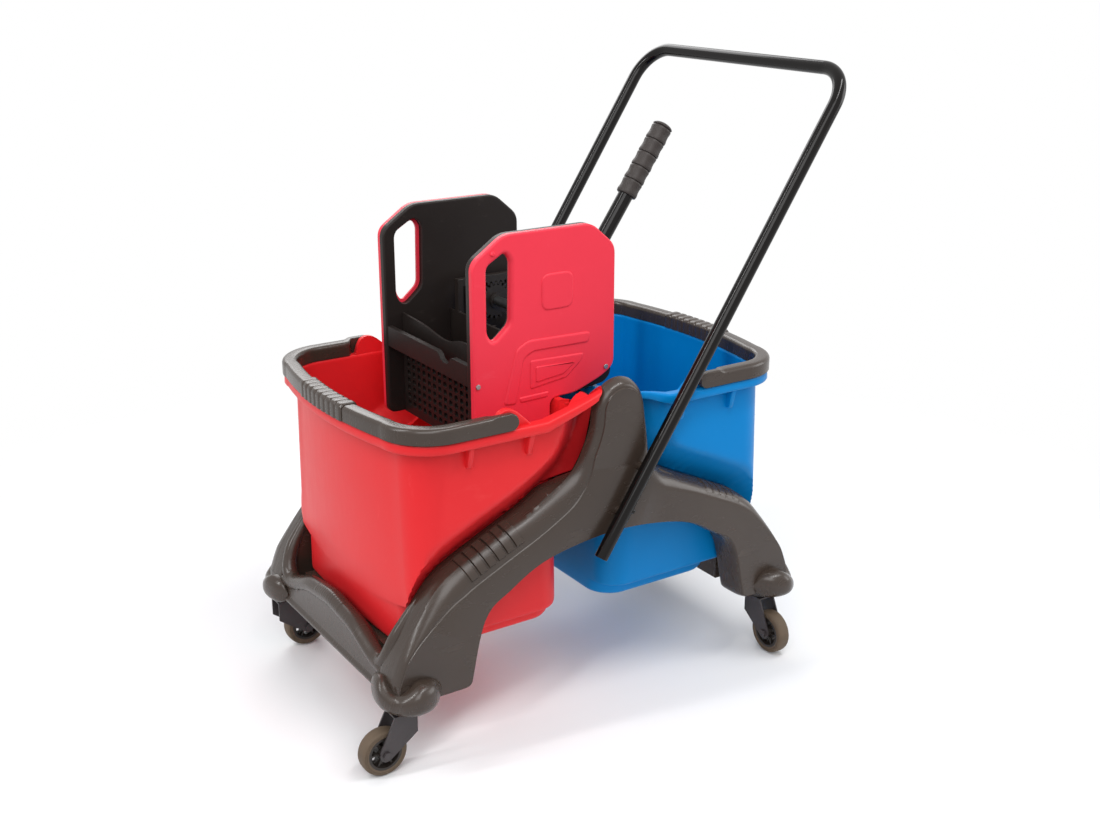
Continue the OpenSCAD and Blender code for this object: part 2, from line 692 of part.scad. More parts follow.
// One bucket at the rear end, walls up the outside and down the inside
module bucket_shell(top_r, high) {
    step_out = frame_half_l - beam_t - shelf_l - gap;
    step_z = shelf_z + gap;
    low_half_w = frame_in - 8;
    low_r = 45;
    mid_r = in_r - 30;
    seat_r = (low_out_r + out_r) / 2;
    t = wall;
    edge_r = top_r + rim_w;
    end_r = out_r + rim_w;
    end_x = bucket_out + rim_w;
    skin([
        level(bucket_z, bucket_in + 6, step_out - 10, base_half_w - 9, low_r, low_r, 0, false),
        level(bucket_z + 3, bucket_in, step_out - 5, base_half_w - 3, low_r, low_r, 0, false),
        level(bucket_z + 10, bucket_in - 2, step_out - 2, base_half_w, low_r, low_r, 0, false),
        level(step_z, bucket_in - 2, step_out, base_half_w + 2, low_r, low_r, 0, false),
        level(step_z + 0.2, bucket_in - 2, bucket_out - 12, low_half_w - 4, low_r, low_out_r, 4, false),
        level(step_z + 9, bucket_in - 2, bucket_out - 7, low_half_w, low_r, low_out_r, 8, false),
        level(seat_gap, bucket_in - 1, bucket_out - 3, seat_half_w, mid_r, seat_r, 12, true),
        level(seat_gap + 0.5, bucket_in - 1, bucket_out - 3, seat_half_w + 20, mid_r + 10, seat_r + 8, 12,
            true),
        level(band_h * 0.85, bucket_in, bucket_out - 2, bucket_half_w - 10, in_r - 8, out_r - 4, 14, true),
        level(band_h, bucket_in, bucket_out - 2, bucket_half_w - 7, in_r - 4, out_r - 2, 15, true),
        level(rim_z - rim_h - 1, bucket_in, bucket_out, bucket_half_w, top_r, out_r, end_bow, false, high),
        level(rim_z - rim_h, rim_in + 1, end_x - 1, rim_half_w - 1, edge_r, end_r, end_bow, false, high),
        level(rim_z - rim_h + 1.5, rim_in, end_x, rim_half_w, edge_r, end_r, end_bow, false, high),
        level(rim_z - 2, rim_in, end_x, rim_half_w, edge_r, end_r, end_bow, false, high),
        level(rim_z, rim_in + 2, end_x - 2, rim_half_w - 2, edge_r, end_r, end_bow, false, high),
        level(rim_z, bucket_in + 1, bucket_out - 1, bucket_half_w - 1, top_r, out_r, end_bow, false, high),
        level(rim_z - 4, bucket_in + t, bucket_out - t, bucket_half_w - t, top_r - t, out_r - t, end_bow,
            false, high),
        level(band_h + t, bucket_in + t, bucket_out - 2 - t, bucket_half_w - 7 - t, in_r - 4 - t, out_r - 2 - t,
            15, true),
        level(seat_gap + 0.5 + t, bucket_in - 1 + t, bucket_out - 3 - t, seat_half_w + 20 - t, mid_r + 10 - t,
            seat_r + 8 - t, 12, true),
        level(seat_gap + t, bucket_in - 1 + t, bucket_out - 3 - t, seat_half_w - t, mid_r - t, seat_r - t, 12,
            true),
        level(step_z + 9 + t, bucket_in - 2 + t, bucket_out - 7 - t, low_half_w - t, low_r - t, low_out_r - t, 8,
            false),
        level(step_z + 0.2 + t, bucket_in - 2 + t, bucket_out - 12 - t, low_half_w - 4 - t, low_r - t,
            low_out_r - t, 4, false),
        level(step_z + t, bucket_in - 2 + t, step_out - t, base_half_w + 2 - t, low_r - t, low_r - t, 0, false),
        level(bucket_z + 10 + t, bucket_in - 2 + t, step_out - 2 - t, base_half_w - t, low_r - t, low_r - t, 0,
            false),
        level(bucket_z + t, bucket_in + 6, step_out - 10, base_half_w - 9, low_r - t, low_r - t, 0, false)]);
}

// Bucket with the bail ears on its rim and the gussets under it
module bucket(top_r, high) {
    difference() {
        union() {
            bucket_shell(top_r, high);
            for (e = [0, 1]) mirror([0, e, 0]) {
                translate([pivot_x, bucket_half_w, 0])
                    rotate([90, 0, 0])
                        linear_extrude(ear_t)
                            polygon(concat([[-ear_half, rim_z - 2], [ear_half, rim_z - 2]], ear_edge));
                for (x = gusset_x)
                    translate([x + 2, bucket_half_w - 3, 0])
                        rotate([90, 0, -90])
                            linear_extrude(4)
                                polygon([[0, rim_z - rim_h - gusset_h], [0, rim_z - rim_h + 1],
                                    [-rim_w - 1, rim_z - rim_h + 1], [-0.6 * rim_w, rim_z - rim_h - gusset_h]]);
            }
        }
        translate([pivot_x, 0, pivot_z])
            rotate([90, 0, 0])
                cylinder(h = 3 * bucket_half_w, d = pin_d + 2 * fit, center = true);
    }
}
// Humped ear, as long as the narrow end of the bail's arm
ear_half = 24;
ear_top = pivot_z + eye_r + 3;
ear_edge = curve([[ear_half, rim_z], [18, pivot_z], [11, ear_top - 4], [0, ear_top], [-11, ear_top - 4],
    [-18, pivot_z], [-ear_half, rim_z]], 3);
gusset_x = [143, 246];
gusset_h = 40;

module blue_bucket() color(blue_plastic) bucket(in_r, blue_rise);
module red_bucket() color(red_plastic) mirror([1, 0, 0]) bucket(red_top_r, red_rise);

// Middle line of a bail, from the near pivot round the outer end to the far one
bail_out = bucket_out + rim_w + 2 - bail_w / 2;
bail_r = out_r + rim_w - bail_w / 2;
bail_start = pivot_x + eye_r - 3;
bail_half = concat(
    [for (k = [0, 0.15, 0.2, 0.25, 0.6]) [bail_start + (bail_out - bail_r - bail_start) * k, -bail_y]],
    arc([bail_out - bail_r, -bail_y + bail_r], bail_r, -90, 0, 6),
    [for (k = [1:12]) let (t = -1 + k / 12) [bail_out + end_bow * (1 - t * t), (bail_y - bail_r) * t]]);
bail_path = concat(bail_half, reversed([for (i = [0:len(bail_half) - 2]) [bail_half[i][0], -bail_half[i][1]]]));
// Rings of a section swept along the bail: the section is [outward, up]
function along_bail(from, to, section) = [for (i = [from:to])
    let (n = len(bail_path), t = bail_path[min(i + 1, n - 1)] - bail_path[max(i - 1, 0)],
        out = [t[1], -t[0]] / norm(t), p = bail_path[i])
    [for (q = section(i)) [p[0] + out[0] * q[0], p[1] + out[1] * q[0], rim_z + gap + q[1]]]];
// Share of the bail's full width, which narrows beside the ears
function bail_full(i) = let (n = len(bail_path) - 1, k = min(i, n - i)) min(1, max(0, (k - 1) / 2));
function gutter(i, grow) = let (a = bail_w / 2 + grow,
        b = (bail_y - eye_in) * (1 - bail_full(i)) - bail_w / 2 * bail_full(i) - grow, h = bail_h + grow)
    [[a, 0], [a, h * 0.6], [a - 3, h * 0.86], [a - 8 * bail_full(i) - 2, h], [b + 7 * bail_full(i) + 2, h],
        [b + 2, h * 0.86], [b, h * 0.6], [b, 0]];

module bail() {
    eye_set = 0.3;
    last = len(bail_path) - 1;
    hollow = function (i) let (o = gutter(i, 0), t = bail_wall)
        concat(o, [[o[7][0] + t, 0], [o[6][0] + t, bail_h * 0.55], [o[1][0] - t, bail_h * 0.55], [o[0][0] - t, 0]]);
    difference() {
        union() {
            skin(reversed(along_bail(0, last, hollow)));
            for (e = [0, 1]) mirror([0, e, 0])
                translate([pivot_x, bail_y + bail_w / 2 - eye_set, pivot_z])
                    rotate([90, 0, 0])
                        cylinder(h = bail_y + bail_w / 2 - eye_in - 2 * eye_set, r = eye_r - eye_set);
        }
        translate([pivot_x, 0, pivot_z])
            rotate([90, 0, 0])
                cylinder(h = 3 * bail_y, d = pin_d + 2 * fit, center = true);
    }
}

module blue_bail() color(dark_plastic) bail();
module red_bail() color(dark_plastic) mirror([1, 0, 0]) bail();

// Ribbed grip clipped over the middle of a bail
module bail_grip() {
    steps = grip_ribs * 2;
    ring = function (k) let (y = -grip_l / 2 + grip_l * k / steps, t = y / (bail_y - bail_r),
            x = bail_out + end_bow * (1 - t * t), high = 1.6 - 1.2 * cos(k * 180),
            o = gutter(len(bail_half) - 1, high + gap), c = gutter(len(bail_half) - 1, gap))
        [for (q = concat(o, reversed(c))) [x + q[0], y, rim_z + gap + q[1]]];
    skin([for (k = [steps:-1:0]) ring(k)]);
}

module blue_bail_grip() color(dark_plastic) bail_grip();
module red_bail_grip() color(dark_plastic) mirror([1, 0, 0]) bail_grip();

module bail_pins() {
    for (e = [0, 1]) mirror([0, e, 0])
        translate([pivot_x, bail_y + bail_w / 2, pivot_z])
            rotate([90, 0, 0])
                cylinder(h = bail_y + bail_w / 2 - bucket_half_w + ear_t, d = pin_d);
}

module blue_bail_pins() color(bright_steel) bail_pins();
module red_bail_pins() color(bright_steel) mirror([1, 0, 0]) bail_pins();

// Outline with softened corners, from points that carry their own length of bend
function bend_at(a, p, b, t) = let (u = p + (a - p) * min(0.45, t / norm(a - p)),
        v = p + (b - p) * min(0.45, t / norm(b - p)))
    [for (k = [0, 0.33, 0.67, 1]) u * (1 - k) * (1 - k) + p * 2 * k * (1 - k) + v * k * k];
function rounded(pts) = let (n = len(pts), q = [for (p = pts) [p[0], p[1]]])
    [for (i = [0:n - 1]) let (a = q[(i + n - 1) % n], b = q[(i + 1) % n], t = pts[i][2])
        for (p = t == 0 ? [q[i]] : bend_at(a, q[i], b, t)) p];
// Wringer side outline: it hangs inside the red bucket and reaches over its inner rim
hook_t = 4;
inside_x = -(bucket_in + wall + 2 * gap + hook_t);
panel_outline = rounded([[panel_front, panel_low, 8], [inside_x, panel_low, 4], [inside_x, rim_z + gap, 0],
    [-2, rim_z + gap, 12], [panel_rear - 3, rim_z + 26, 12], [panel_rear, panel_top - 38, 22],
    [panel_rear - 46, panel_top, 22], [panel_front + 56, panel_top, 22], [panel_front, panel_top - 38, 22]]);
// Hand hole with slanted ends
hole_x = panel_front + 26;
hand_hole = rounded([[hole_x, panel_top - 155, 5], [hole_x + 9, panel_top - 166, 5],
    [hole_x + 43, panel_top - 147, 9], [hole_x + 43, panel_top - 36, 5], [hole_x + 33, panel_top - 27, 5],
    [hole_x, panel_top - 44, 9]]);
screw_d = 5;
tie_d = 18;
front_screw = [panel_front + 2 + band_t / 2, band_z - band_w / 2 + 6];
rear_screw = [panel_rear - 16, rim_z + 35];
bush_d = axle_d + 8;
guide_t = 7;
guide_z = rack_z + rack_h + gap;
rest_z = panel_low + 12;

// Plate in the XZ plane, from y to y + t
module upright_plate(y, t) {
    translate([0, y + t, 0])
        rotate([90, 0, 0])
            linear_extrude(t)
                children();
}

module screw_holes(d) {
    for (s = [front_screw, rear_screw])
        translate(s)
            circle(d = d);
}

module wringer_panel() {
    difference() {
        union() {
            upright_plate(panel_y, panel_t)
                difference() {
                    polygon(panel_outline);
                    polygon(hand_hole);
                    screw_holes(screw_d + 2 * fit);
                }
            // Guide over the rack
            translate([axle_x - gear_r, gear_y - gear_w / 2, guide_z])
                cube([panel_rear - 2 - axle_x + gear_r, panel_y - gear_y + gear_w / 2 + 1, guide_t]);
            // Rail under the press plate
            translate([strainer_x + plate_t, panel_y - 8, rest_z - 6])
                cube([inside_x - strainer_x - plate_t, 9, 6]);
        }
        translate([axle_x, panel_y - 1, axle_z])
            rotate([-90, 0, 0])
                cylinder(h = panel_t + 2, d = bush_d + 2 * fit);
    }
}

module wringer_panel_left() color("#2a2522") wringer_panel();
module wringer_panel_right() color("#2a2522") mirror([0, 1, 0]) wringer_panel();

// Raised line of the cover between two points
module raised_line(a, b, w) {
    d = b - a;
    translate(a)
        rotate(atan2(d[1], d[0]))
            translate([-w / 2, -w / 2])
                square([norm(d) + w, w]);
}

module wringer_cover() {
    emboss = 2;
    line_w = 4;
    outer_line = [[panel_rear - 49, panel_top - 170], [panel_front + 89, panel_top - 167],
        [panel_front + 74, panel_top - 180], [panel_front + 56, rim_z + 14]];
    inner_line = [[panel_rear - 50, panel_top - 186], [panel_front + 101, panel_top - 185],
        [panel_front + 87, panel_top - 194], [panel_front + 75, rim_z + 14]];
    difference() {
        upright_plate(panel_out, cover_t)
            difference() {
                polygon(panel_outline);
                polygon(hand_hole);
                screw_holes(screw_d + 2 * fit);
            }
        // Shallow window under the raised lines
        upright_plate(cover_out - emboss, emboss + 1)
            polygon([[panel_front + 103, panel_top - 201], [panel_rear - 63, panel_top - 215],
                [panel_rear - 86, panel_top - 234], [panel_front + 101, panel_top - 246]]);
    }
    upright_plate(cover_out, emboss) {
        for (line = [outer_line, inner_line])
            for (i = [0:len(line) - 2])
                raised_line(line[i], line[i + 1], line_w);
        difference() {
            translate([panel_rear - 138, panel_top - 130])
                square(62);
            translate([panel_rear - 134, panel_top - 126])
                square(54);
        }
        translate([panel_front + 34, panel_top - 25])
            circle(r = 5);
        // Lip round the hand hole
        difference() {
            translate([hole_x + 21, panel_top - 97])
                scale(1.14)
                    translate([-hole_x - 21, -panel_top + 97])
                        polygon(hand_hole);
            polygon(hand_hole);
        }
    }
}

module wringer_cover_left() color(red_plastic) wringer_cover();
module wringer_cover_right() color(red_plastic) mirror([0, 1, 0]) wringer_cover();

// Plate in the YZ plane, from x to x + t
module cross_plate(x, t) {
    translate([x, 0, 0])
        rotate([90, 0, 90])
            linear_extrude(t)
                children();
}

module front_band() {
    low = band_z - band_w / 2;
    top = band_z + band_w / 2;
    notch = curve([[-36, top], [-43, top - 4], [-50, top - 11], [-60, top - 13], [-70, top - 11],
        [-77, top - 4], [-84, top]], 4);
    color("#2a2522") difference() {
        cross_plate(panel_front + 2, band_t)
            polygon(concat([[-panel_y, low], [panel_y, low], [panel_y, top]], notch, [[-panel_y, top]]));
        for (e = [-1, 1])
            translate([front_screw[0], e * panel_y, front_screw[1]])
                rotate([90, 0, 0])
                    cylinder(h = 2 * screw_l, d = screw_d + 2 * fit, center = true);
    }
}
screw_l = 20;

// Perforated plate against which the mop is pressed
module strainer_plate() {
    top = strainer_z;
    edge = curve([[panel_y, top], [60, top - 4], [12, top - 11], [-22, top - 12], [-62, top - 3],
        [-panel_y, top - 1]], 4);
    first = top - 29;
    color("#2a2522") cross_plate(strainer_x, plate_t)
        difference() {
            polygon(concat([[-panel_y, panel_low], [panel_y, panel_low]], edge));
            for (c = [0:hole_cols - 1])
                for (r = [0:hole_rows - 1])
                    translate([(c - (hole_cols - 1) / 2) * hole_pitch_y, first - r * hole_pitch_z]) {
                        square([hole_w - hole_h, hole_h], center = true);
                        for (e = [-1, 1])
                            translate([e * (hole_w - hole_h) / 2, 0])
                                circle(d = hole_h, $fn = 24);
                    }
        }
}

module drain_floor() {
    x = strainer_x + plate_t;
    l = inside_x - x;
    color("#2a2522") difference() {
        translate([x, -panel_y, panel_low])
            cube([l, 2 * panel_y, 4]);
        for (i = [-5:5])
            translate([x + 10, i * (2 * panel_y - 16) / 11 - 4, panel_low - 1])
                cube([l - 20, 8, 6]);
    }
}

// Hook that hangs the wringer on the inner rim of the red bucket
module rim_hook() {
    front = -(bucket_in + wall + gap);
    back = -(rim_in - gap);
    under = rim_z + gap;
    top = under + 6;
    color("#2a2522") translate([0, panel_y, 0])
        rotate([90, 0, 0])
            linear_extrude(2 * panel_y)
                polygon([[front - hook_t, under - 45], [front, under - 45], [front, under], [back, under],
                    [back, under - 30], [back + hook_t, under - 30], [back + hook_t, top], [front - hook_t, top]]);
}

module rear_tie_bar() {
    color("#2a2522") translate([rear_screw[0], panel_y, rear_screw[1]])
        rotate([90, 0, 0])
            difference() {
                cylinder(h = 2 * panel_y, d = tie_d);
                translate([0, 0, -1])
                    cylinder(h = 2 * panel_y + 2, d = screw_d + 2 * fit);
            }
}

module wringer_screws() {
    color(bright_steel) for (e = [0, 1]) mirror([0, e, 0])
        for (s = [front_screw, rear_screw])
            translate([s[0], cover_out, s[1]])
                rotate([90, 0, 0]) {
                    cylinder(h = cover_t + panel_t + screw_l - 2, d = screw_d);
                    translate([0, 0, -2])
                        cylinder(h = 2, d = 1.6 * screw_d);
                }
}

module axle_bushes() {
    color(bright_steel) for (e = [0, 1]) mirror([0, e, 0])
        translate([axle_x, panel_y - 2, axle_z])
            rotate([-90, 0, 0])
                difference() {
                    union() {
                        cylinder(h = panel_t + 2, d = bush_d);
                        cylinder(h = 2, d = bush_d + 6);
                    }
                    translate([0, 0, -1])
                        cylinder(h = panel_t + 4, d = axle_d + 2 * fit);
                }
}

// Straight rack tooth, pointing down from the root line
function rack_tooth(x) = let (half = rack_pitch / 4 - gear_play / 4, slope = tan(20))
    [[x - half - tooth_root * slope, tooth_root], [x - half + tooth_top * slope, -tooth_top],
        [x + half - tooth_top * slope, -tooth_top], [x + half + tooth_root * slope, tooth_root]];

// Moving plate with a rack on each side, driven by the pinions
module press_plate() {
    side = panel_y - gap;
    low = rest_z + gap;
    top = strainer_z - 6;
    rack_teeth = ceil(stroke / rack_pitch);
    rack_end = axle_x + rack_teeth * rack_pitch;
    color("#2a2523") {
        translate([press_x, -side, low])
            cube([plate_t, 2 * side, top - low]);
        for (i = [-4:4])
            translate([press_x + plate_t - 1, i * 27 - 2, low])
                cube([6, 4, top - low]);
        for (e = [0, 1]) mirror([0, e, 0]) {
            translate([press_x, gear_y - gear_w / 2, top - 20])
                cube([2 * plate_t, gear_w, rack_z + rack_h - top + 20]);
            translate([press_x, gear_y - gear_w / 2, rack_z])
                cube([rack_end - press_x, gear_w, rack_h]);
            for (k = [-2:rack_teeth - 1])
                translate([0, gear_y + gear_w / 2, axle_z + gear_r])
                    rotate([90, 0, 0])
                        linear_extrude(gear_w)
                            polygon(rack_tooth(axle_x + (k + 0.5) * rack_pitch));
        }
    }
}

// Involute flank of a pinion tooth: angle off the tooth's middle at a radius
base_r = gear_r * cos(20);
function roll_angle(r) = r <= base_r ? 0 : let (t = sqrt(r * r / (base_r * base_r) - 1)) t * 180 / PI - atan(t);
function flank(r) = 90 / gear_teeth - gear_play / 4 / gear_r * 180 / PI + roll_angle(gear_r) - roll_angle(r);
pinion_points = let (steps = [gear_r - tooth_root, base_r, gear_r - 1, gear_r + 1, gear_r + tooth_top])
    [for (k = [0:gear_teeth - 1]) let (mid = 90 + 360 * k / gear_teeth)
        for (p = concat([for (r = steps) [r, mid - flank(r)]],
            reversed([for (r = steps) [r, mid + flank(r)]])))
        [p[0] * cos(p[1]), p[0] * sin(p[1])]];

module pinion() {
    translate([axle_x, gear_y + gear_w / 2, axle_z])
        rotate([90, 0, 0])
            difference() {
                union() {
                    linear_extrude(gear_w)
                        polygon(pinion_points);
                    cylinder(h = gear_w + 4, r = axle_d / 2 + 5);
                }
                translate([0, 0, -1])
                    cylinder(h = gear_w + 10, d = axle_d + 2 * fit);
            }
}

module pinion_left() color("#36302d") pinion();
module pinion_right() color("#36302d") mirror([0, 1, 0]) pinion();

module drive_axle() {
    color(bright_steel) translate([axle_x, panel_out, axle_z])
        rotate([90, 0, 0])
            cylinder(h = 2 * panel_out, d = axle_d);
}

// Places what turns with the lever, drawn upright with the axle at its origin
module at_lever() {
    translate([axle_x, lever_y, axle_z])
        rotate([0, lever_lean, 0])
            children();
}
tube_from = axle_d / 2 + 20;
socket_end = 72;

module lever_socket() {
    color(black_steel) at_lever() difference() {
        union() {
            rotate([90, 0, 0])
                cylinder(h = lever_d + 11, r = axle_d / 2 + 11, center = true);
            cylinder(h = socket_end, d = lever_d + 8);
        }
        rotate([90, 0, 0])
            cylinder(h = 2 * lever_d, d = axle_d + 2 * fit, center = true);
        translate([0, 0, tube_from])
            cylinder(h = socket_end, d = lever_d + 2 * fit);
    }
}

module lever_tube() {
    color(black_steel) at_lever() translate([0, 0, tube_from])
        difference() {
            cylinder(h = lever_l - grip_end - tube_from, d = lever_d);
            translate([0, 0, -1])
                cylinder(h = lever_l, d = lever_d - 2 * tube_wall);
        }
}
grip_end = 7;

// Hand grip in five segments with grooves between them and a rounded end
module lever_grip() {
    segments = 5;
    r = hand_grip_d / 2;
    step = (hand_grip_l - grip_end) / segments;
    from = lever_l - hand_grip_l;
    bore = lever_d / 2 + fit;
    skin_line = [for (k = [0:segments - 1]) for (p = [[0.02, -2.6], [0.1, -0.7], [0.3, 0], [0.7, 0], [0.9, -0.7],
        [0.98, -2.6]]) [r + p[1], from + (k + p[0]) * step]];
    cap = [for (a = [0:18:72]) [r * 0.98 * cos(a), lever_l - grip_end + grip_end * sin(a)]];
    color("#33302e") at_lever()
        rotate_extrude()
            polygon(concat([[bore, from]], skin_line, cap, [[0, lever_l], [0, lever_l - grip_end],
                [bore, lever_l - grip_end]]));
}

// Everything is drawn from the middle of the chassis and set over the origin
module trolley() {
    translate([origin_x, 0, 0])
        children();
}

trolley() side_frame_right();
trolley() side_frame_left();
trolley() front_crossbeam();
trolley() rear_crossbeam();
trolley() centre_bridge();
trolley() corner_bumpers();
trolley() castor_sockets();
trolley() frame_bolts();
trolley() push_handle();
trolley() handle_spacers();
trolley() handle_bolts();
trolley() castor_fork(0);  // castor_fork_front_right
trolley() castor_fork(1);  // castor_fork_front_left
trolley() castor_fork(2);  // castor_fork_rear_right
trolley() castor_fork(3);  // castor_fork_rear_left
trolley() wheel_axle(0);  // wheel_axle_front_right
trolley() wheel_axle(1);  // wheel_axle_front_left
trolley() wheel_axle(2);  // wheel_axle_rear_right
trolley() wheel_axle(3);  // wheel_axle_rear_left
trolley() wheel_hub(0);  // wheel_hub_front_right
trolley() wheel_hub(1);  // wheel_hub_front_left
trolley() wheel_hub(2);  // wheel_hub_rear_right
trolley() wheel_hub(3);  // wheel_hub_rear_left
trolley() tyre(0);  // tyre_front_right
trolley() tyre(1);  // tyre_front_left
trolley() tyre(2);  // tyre_rear_right
trolley() tyre(3);  // tyre_rear_left
trolley() red_bucket();
trolley() red_bail();
trolley() red_bail_grip();
trolley() red_bail_pins();
trolley() blue_bucket();
trolley() blue_bail();
trolley() blue_bail_grip();
trolley() blue_bail_pins();
trolley() wringer_panel_right();
trolley() wringer_panel_left();
trolley() wringer_cover_right();
trolley() wringer_cover_left();
trolley() front_band();
trolley() strainer_plate();
trolley() drain_floor();
trolley() rim_hook();
trolley() rear_tie_bar();
trolley() wringer_screws();
trolley() axle_bushes();
trolley() press_plate();
trolley() drive_axle();
trolley() pinion_right();
trolley() pinion_left();
trolley() lever_socket();
trolley() lever_tube();
trolley() lever_grip();
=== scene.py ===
import json
from math import sin, cos, pi, radians, sqrt, hypot
import bpy
import bmesh
from mathutils import Vector, Matrix


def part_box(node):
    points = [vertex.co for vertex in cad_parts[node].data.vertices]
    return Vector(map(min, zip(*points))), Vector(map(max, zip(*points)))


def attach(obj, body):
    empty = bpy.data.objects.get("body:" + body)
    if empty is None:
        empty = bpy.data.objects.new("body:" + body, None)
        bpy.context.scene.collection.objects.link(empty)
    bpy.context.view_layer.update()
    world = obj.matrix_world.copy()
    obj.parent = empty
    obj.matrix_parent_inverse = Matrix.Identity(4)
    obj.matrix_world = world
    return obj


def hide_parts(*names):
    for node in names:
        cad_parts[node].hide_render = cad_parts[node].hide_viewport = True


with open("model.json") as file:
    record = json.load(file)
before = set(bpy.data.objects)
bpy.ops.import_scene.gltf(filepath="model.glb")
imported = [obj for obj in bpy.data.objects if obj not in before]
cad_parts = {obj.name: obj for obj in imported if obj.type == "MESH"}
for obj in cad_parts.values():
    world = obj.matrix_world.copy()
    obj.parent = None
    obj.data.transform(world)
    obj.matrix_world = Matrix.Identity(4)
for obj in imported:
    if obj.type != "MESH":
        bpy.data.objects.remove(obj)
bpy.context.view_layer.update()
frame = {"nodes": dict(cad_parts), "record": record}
nodes = frame["nodes"]
record = frame["record"]
bodyOf = {node: body for body, members in record["behaviour"]["bodies"].items() for node in members}
slotOf = {part["node"]: part["material_slot"] for part in record["subparts"]}

# the drawing's zero is the middle of the chassis, the frame's zero the middle of the whole box
originX = (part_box("front_crossbeam")[0].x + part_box("rear_crossbeam")[1].x) / 2


# millimetres of the drawing to metres of the frame
def place(x, y, z):
    return Vector((x / 1000 + originX, y / 1000, z / 1000))


# sRGB hex to the linear colour that a shader takes
def linear(hexColour):
    channels = [int(hexColour[i:i + 2], 16) / 255 for i in (1, 3, 5)]
    return [c / 12.92 if c <= 0.04045 else ((c + 0.055) / 1.055) ** 2.4 for c in channels] + [1.0]


def addNode(tree, kind, settings=None, links=None):
    node = tree.nodes.new(kind)
    for key, value in (settings or {}).items():
        if isinstance(key, int) or key in node.inputs:
            node.inputs[key].default_value = value
        else:
            setattr(node, key, value)
    for key, socket in (links or {}).items():
        tree.links.new(socket, node.inputs[key])
    return node


# one finish: pigment (dark, light, worn), scuffs, polish and grain, each noise at its size in millimetres
def wornFinish(name, look):
    material = bpy.data.materials.new(name)
    material.use_nodes = True
    tree = material.node_tree
    shader = tree.nodes["Principled BSDF"]
    shader.inputs["IOR"].default_value = look.get("ior", 1.5)
    shader.inputs["Specular IOR Level"].default_value = look["shine"]
    shader.inputs["Metallic"].default_value = look.get("metal", 0.0)
    where = addNode(tree, "ShaderNodeTexCoord").outputs["Object"]
    dark, light, bare = (linear(colour) for colour in look["colours"])
    driftSize, scuffSize, grainSize = look["sizes"]

    def noise(size, detail, at, rough=0.5):
        settings = {"Scale": 1000.0 / size, "Detail": detail, "Roughness": rough}
        return addNode(tree, "ShaderNodeTexNoise", settings, {"Vector": at}).outputs["Fac"]

    # slow drift of the pigment
    drift = noise(driftSize, 3.0, where)
    colour = addNode(tree, "ShaderNodeMix", {"data_type": "RGBA", 6: dark, 7: light}, {0: drift})
    # scuffs are long thin marks that lie mostly along the piece
    laid = addNode(tree, "ShaderNodeMapping", {"Rotation": (0.3, 0.5, 0.9), "Scale": (1.0, 9.0, 2.5)},
                   {"Vector": where})
    scuff = noise(scuffSize, 5.0, laid.outputs["Vector"], 0.65)
    marks = addNode(tree, "ShaderNodeMapRange", {"From Min": 0.62, "From Max": 0.74}, {"Value": scuff})
    share = addNode(tree, "ShaderNodeMath", {"operation": "MULTIPLY", 1: look["wear"]},
                    {0: marks.outputs["Result"]})
    worn = addNode(tree, "ShaderNodeMix", {"data_type": "RGBA", 7: bare},
                   {0: share.outputs["Value"], 6: colour.outputs[2]})
    tree.links.new(worn.outputs[2], shader.inputs["Base Color"])
    # the polish is duller in the scuffs
    polish, dull = look["rough"]
    rough = addNode(tree, "ShaderNodeMapRange", {"To Min": polish, "To Max": dull}, {"Value": scuff})
    tree.links.new(rough.outputs["Result"], shader.inputs["Roughness"])
    # grain of the mould or coat, drawn coarser than life so that it shows
    bump = addNode(tree, "ShaderNodeBump", {"Strength": look["grain"], "Distance": 0.0004},
                   {"Height": noise(grainSize, 2.0, where)})
    tree.links.new(bump.outputs["Normal"], shader.inputs["Normal"])
    return material


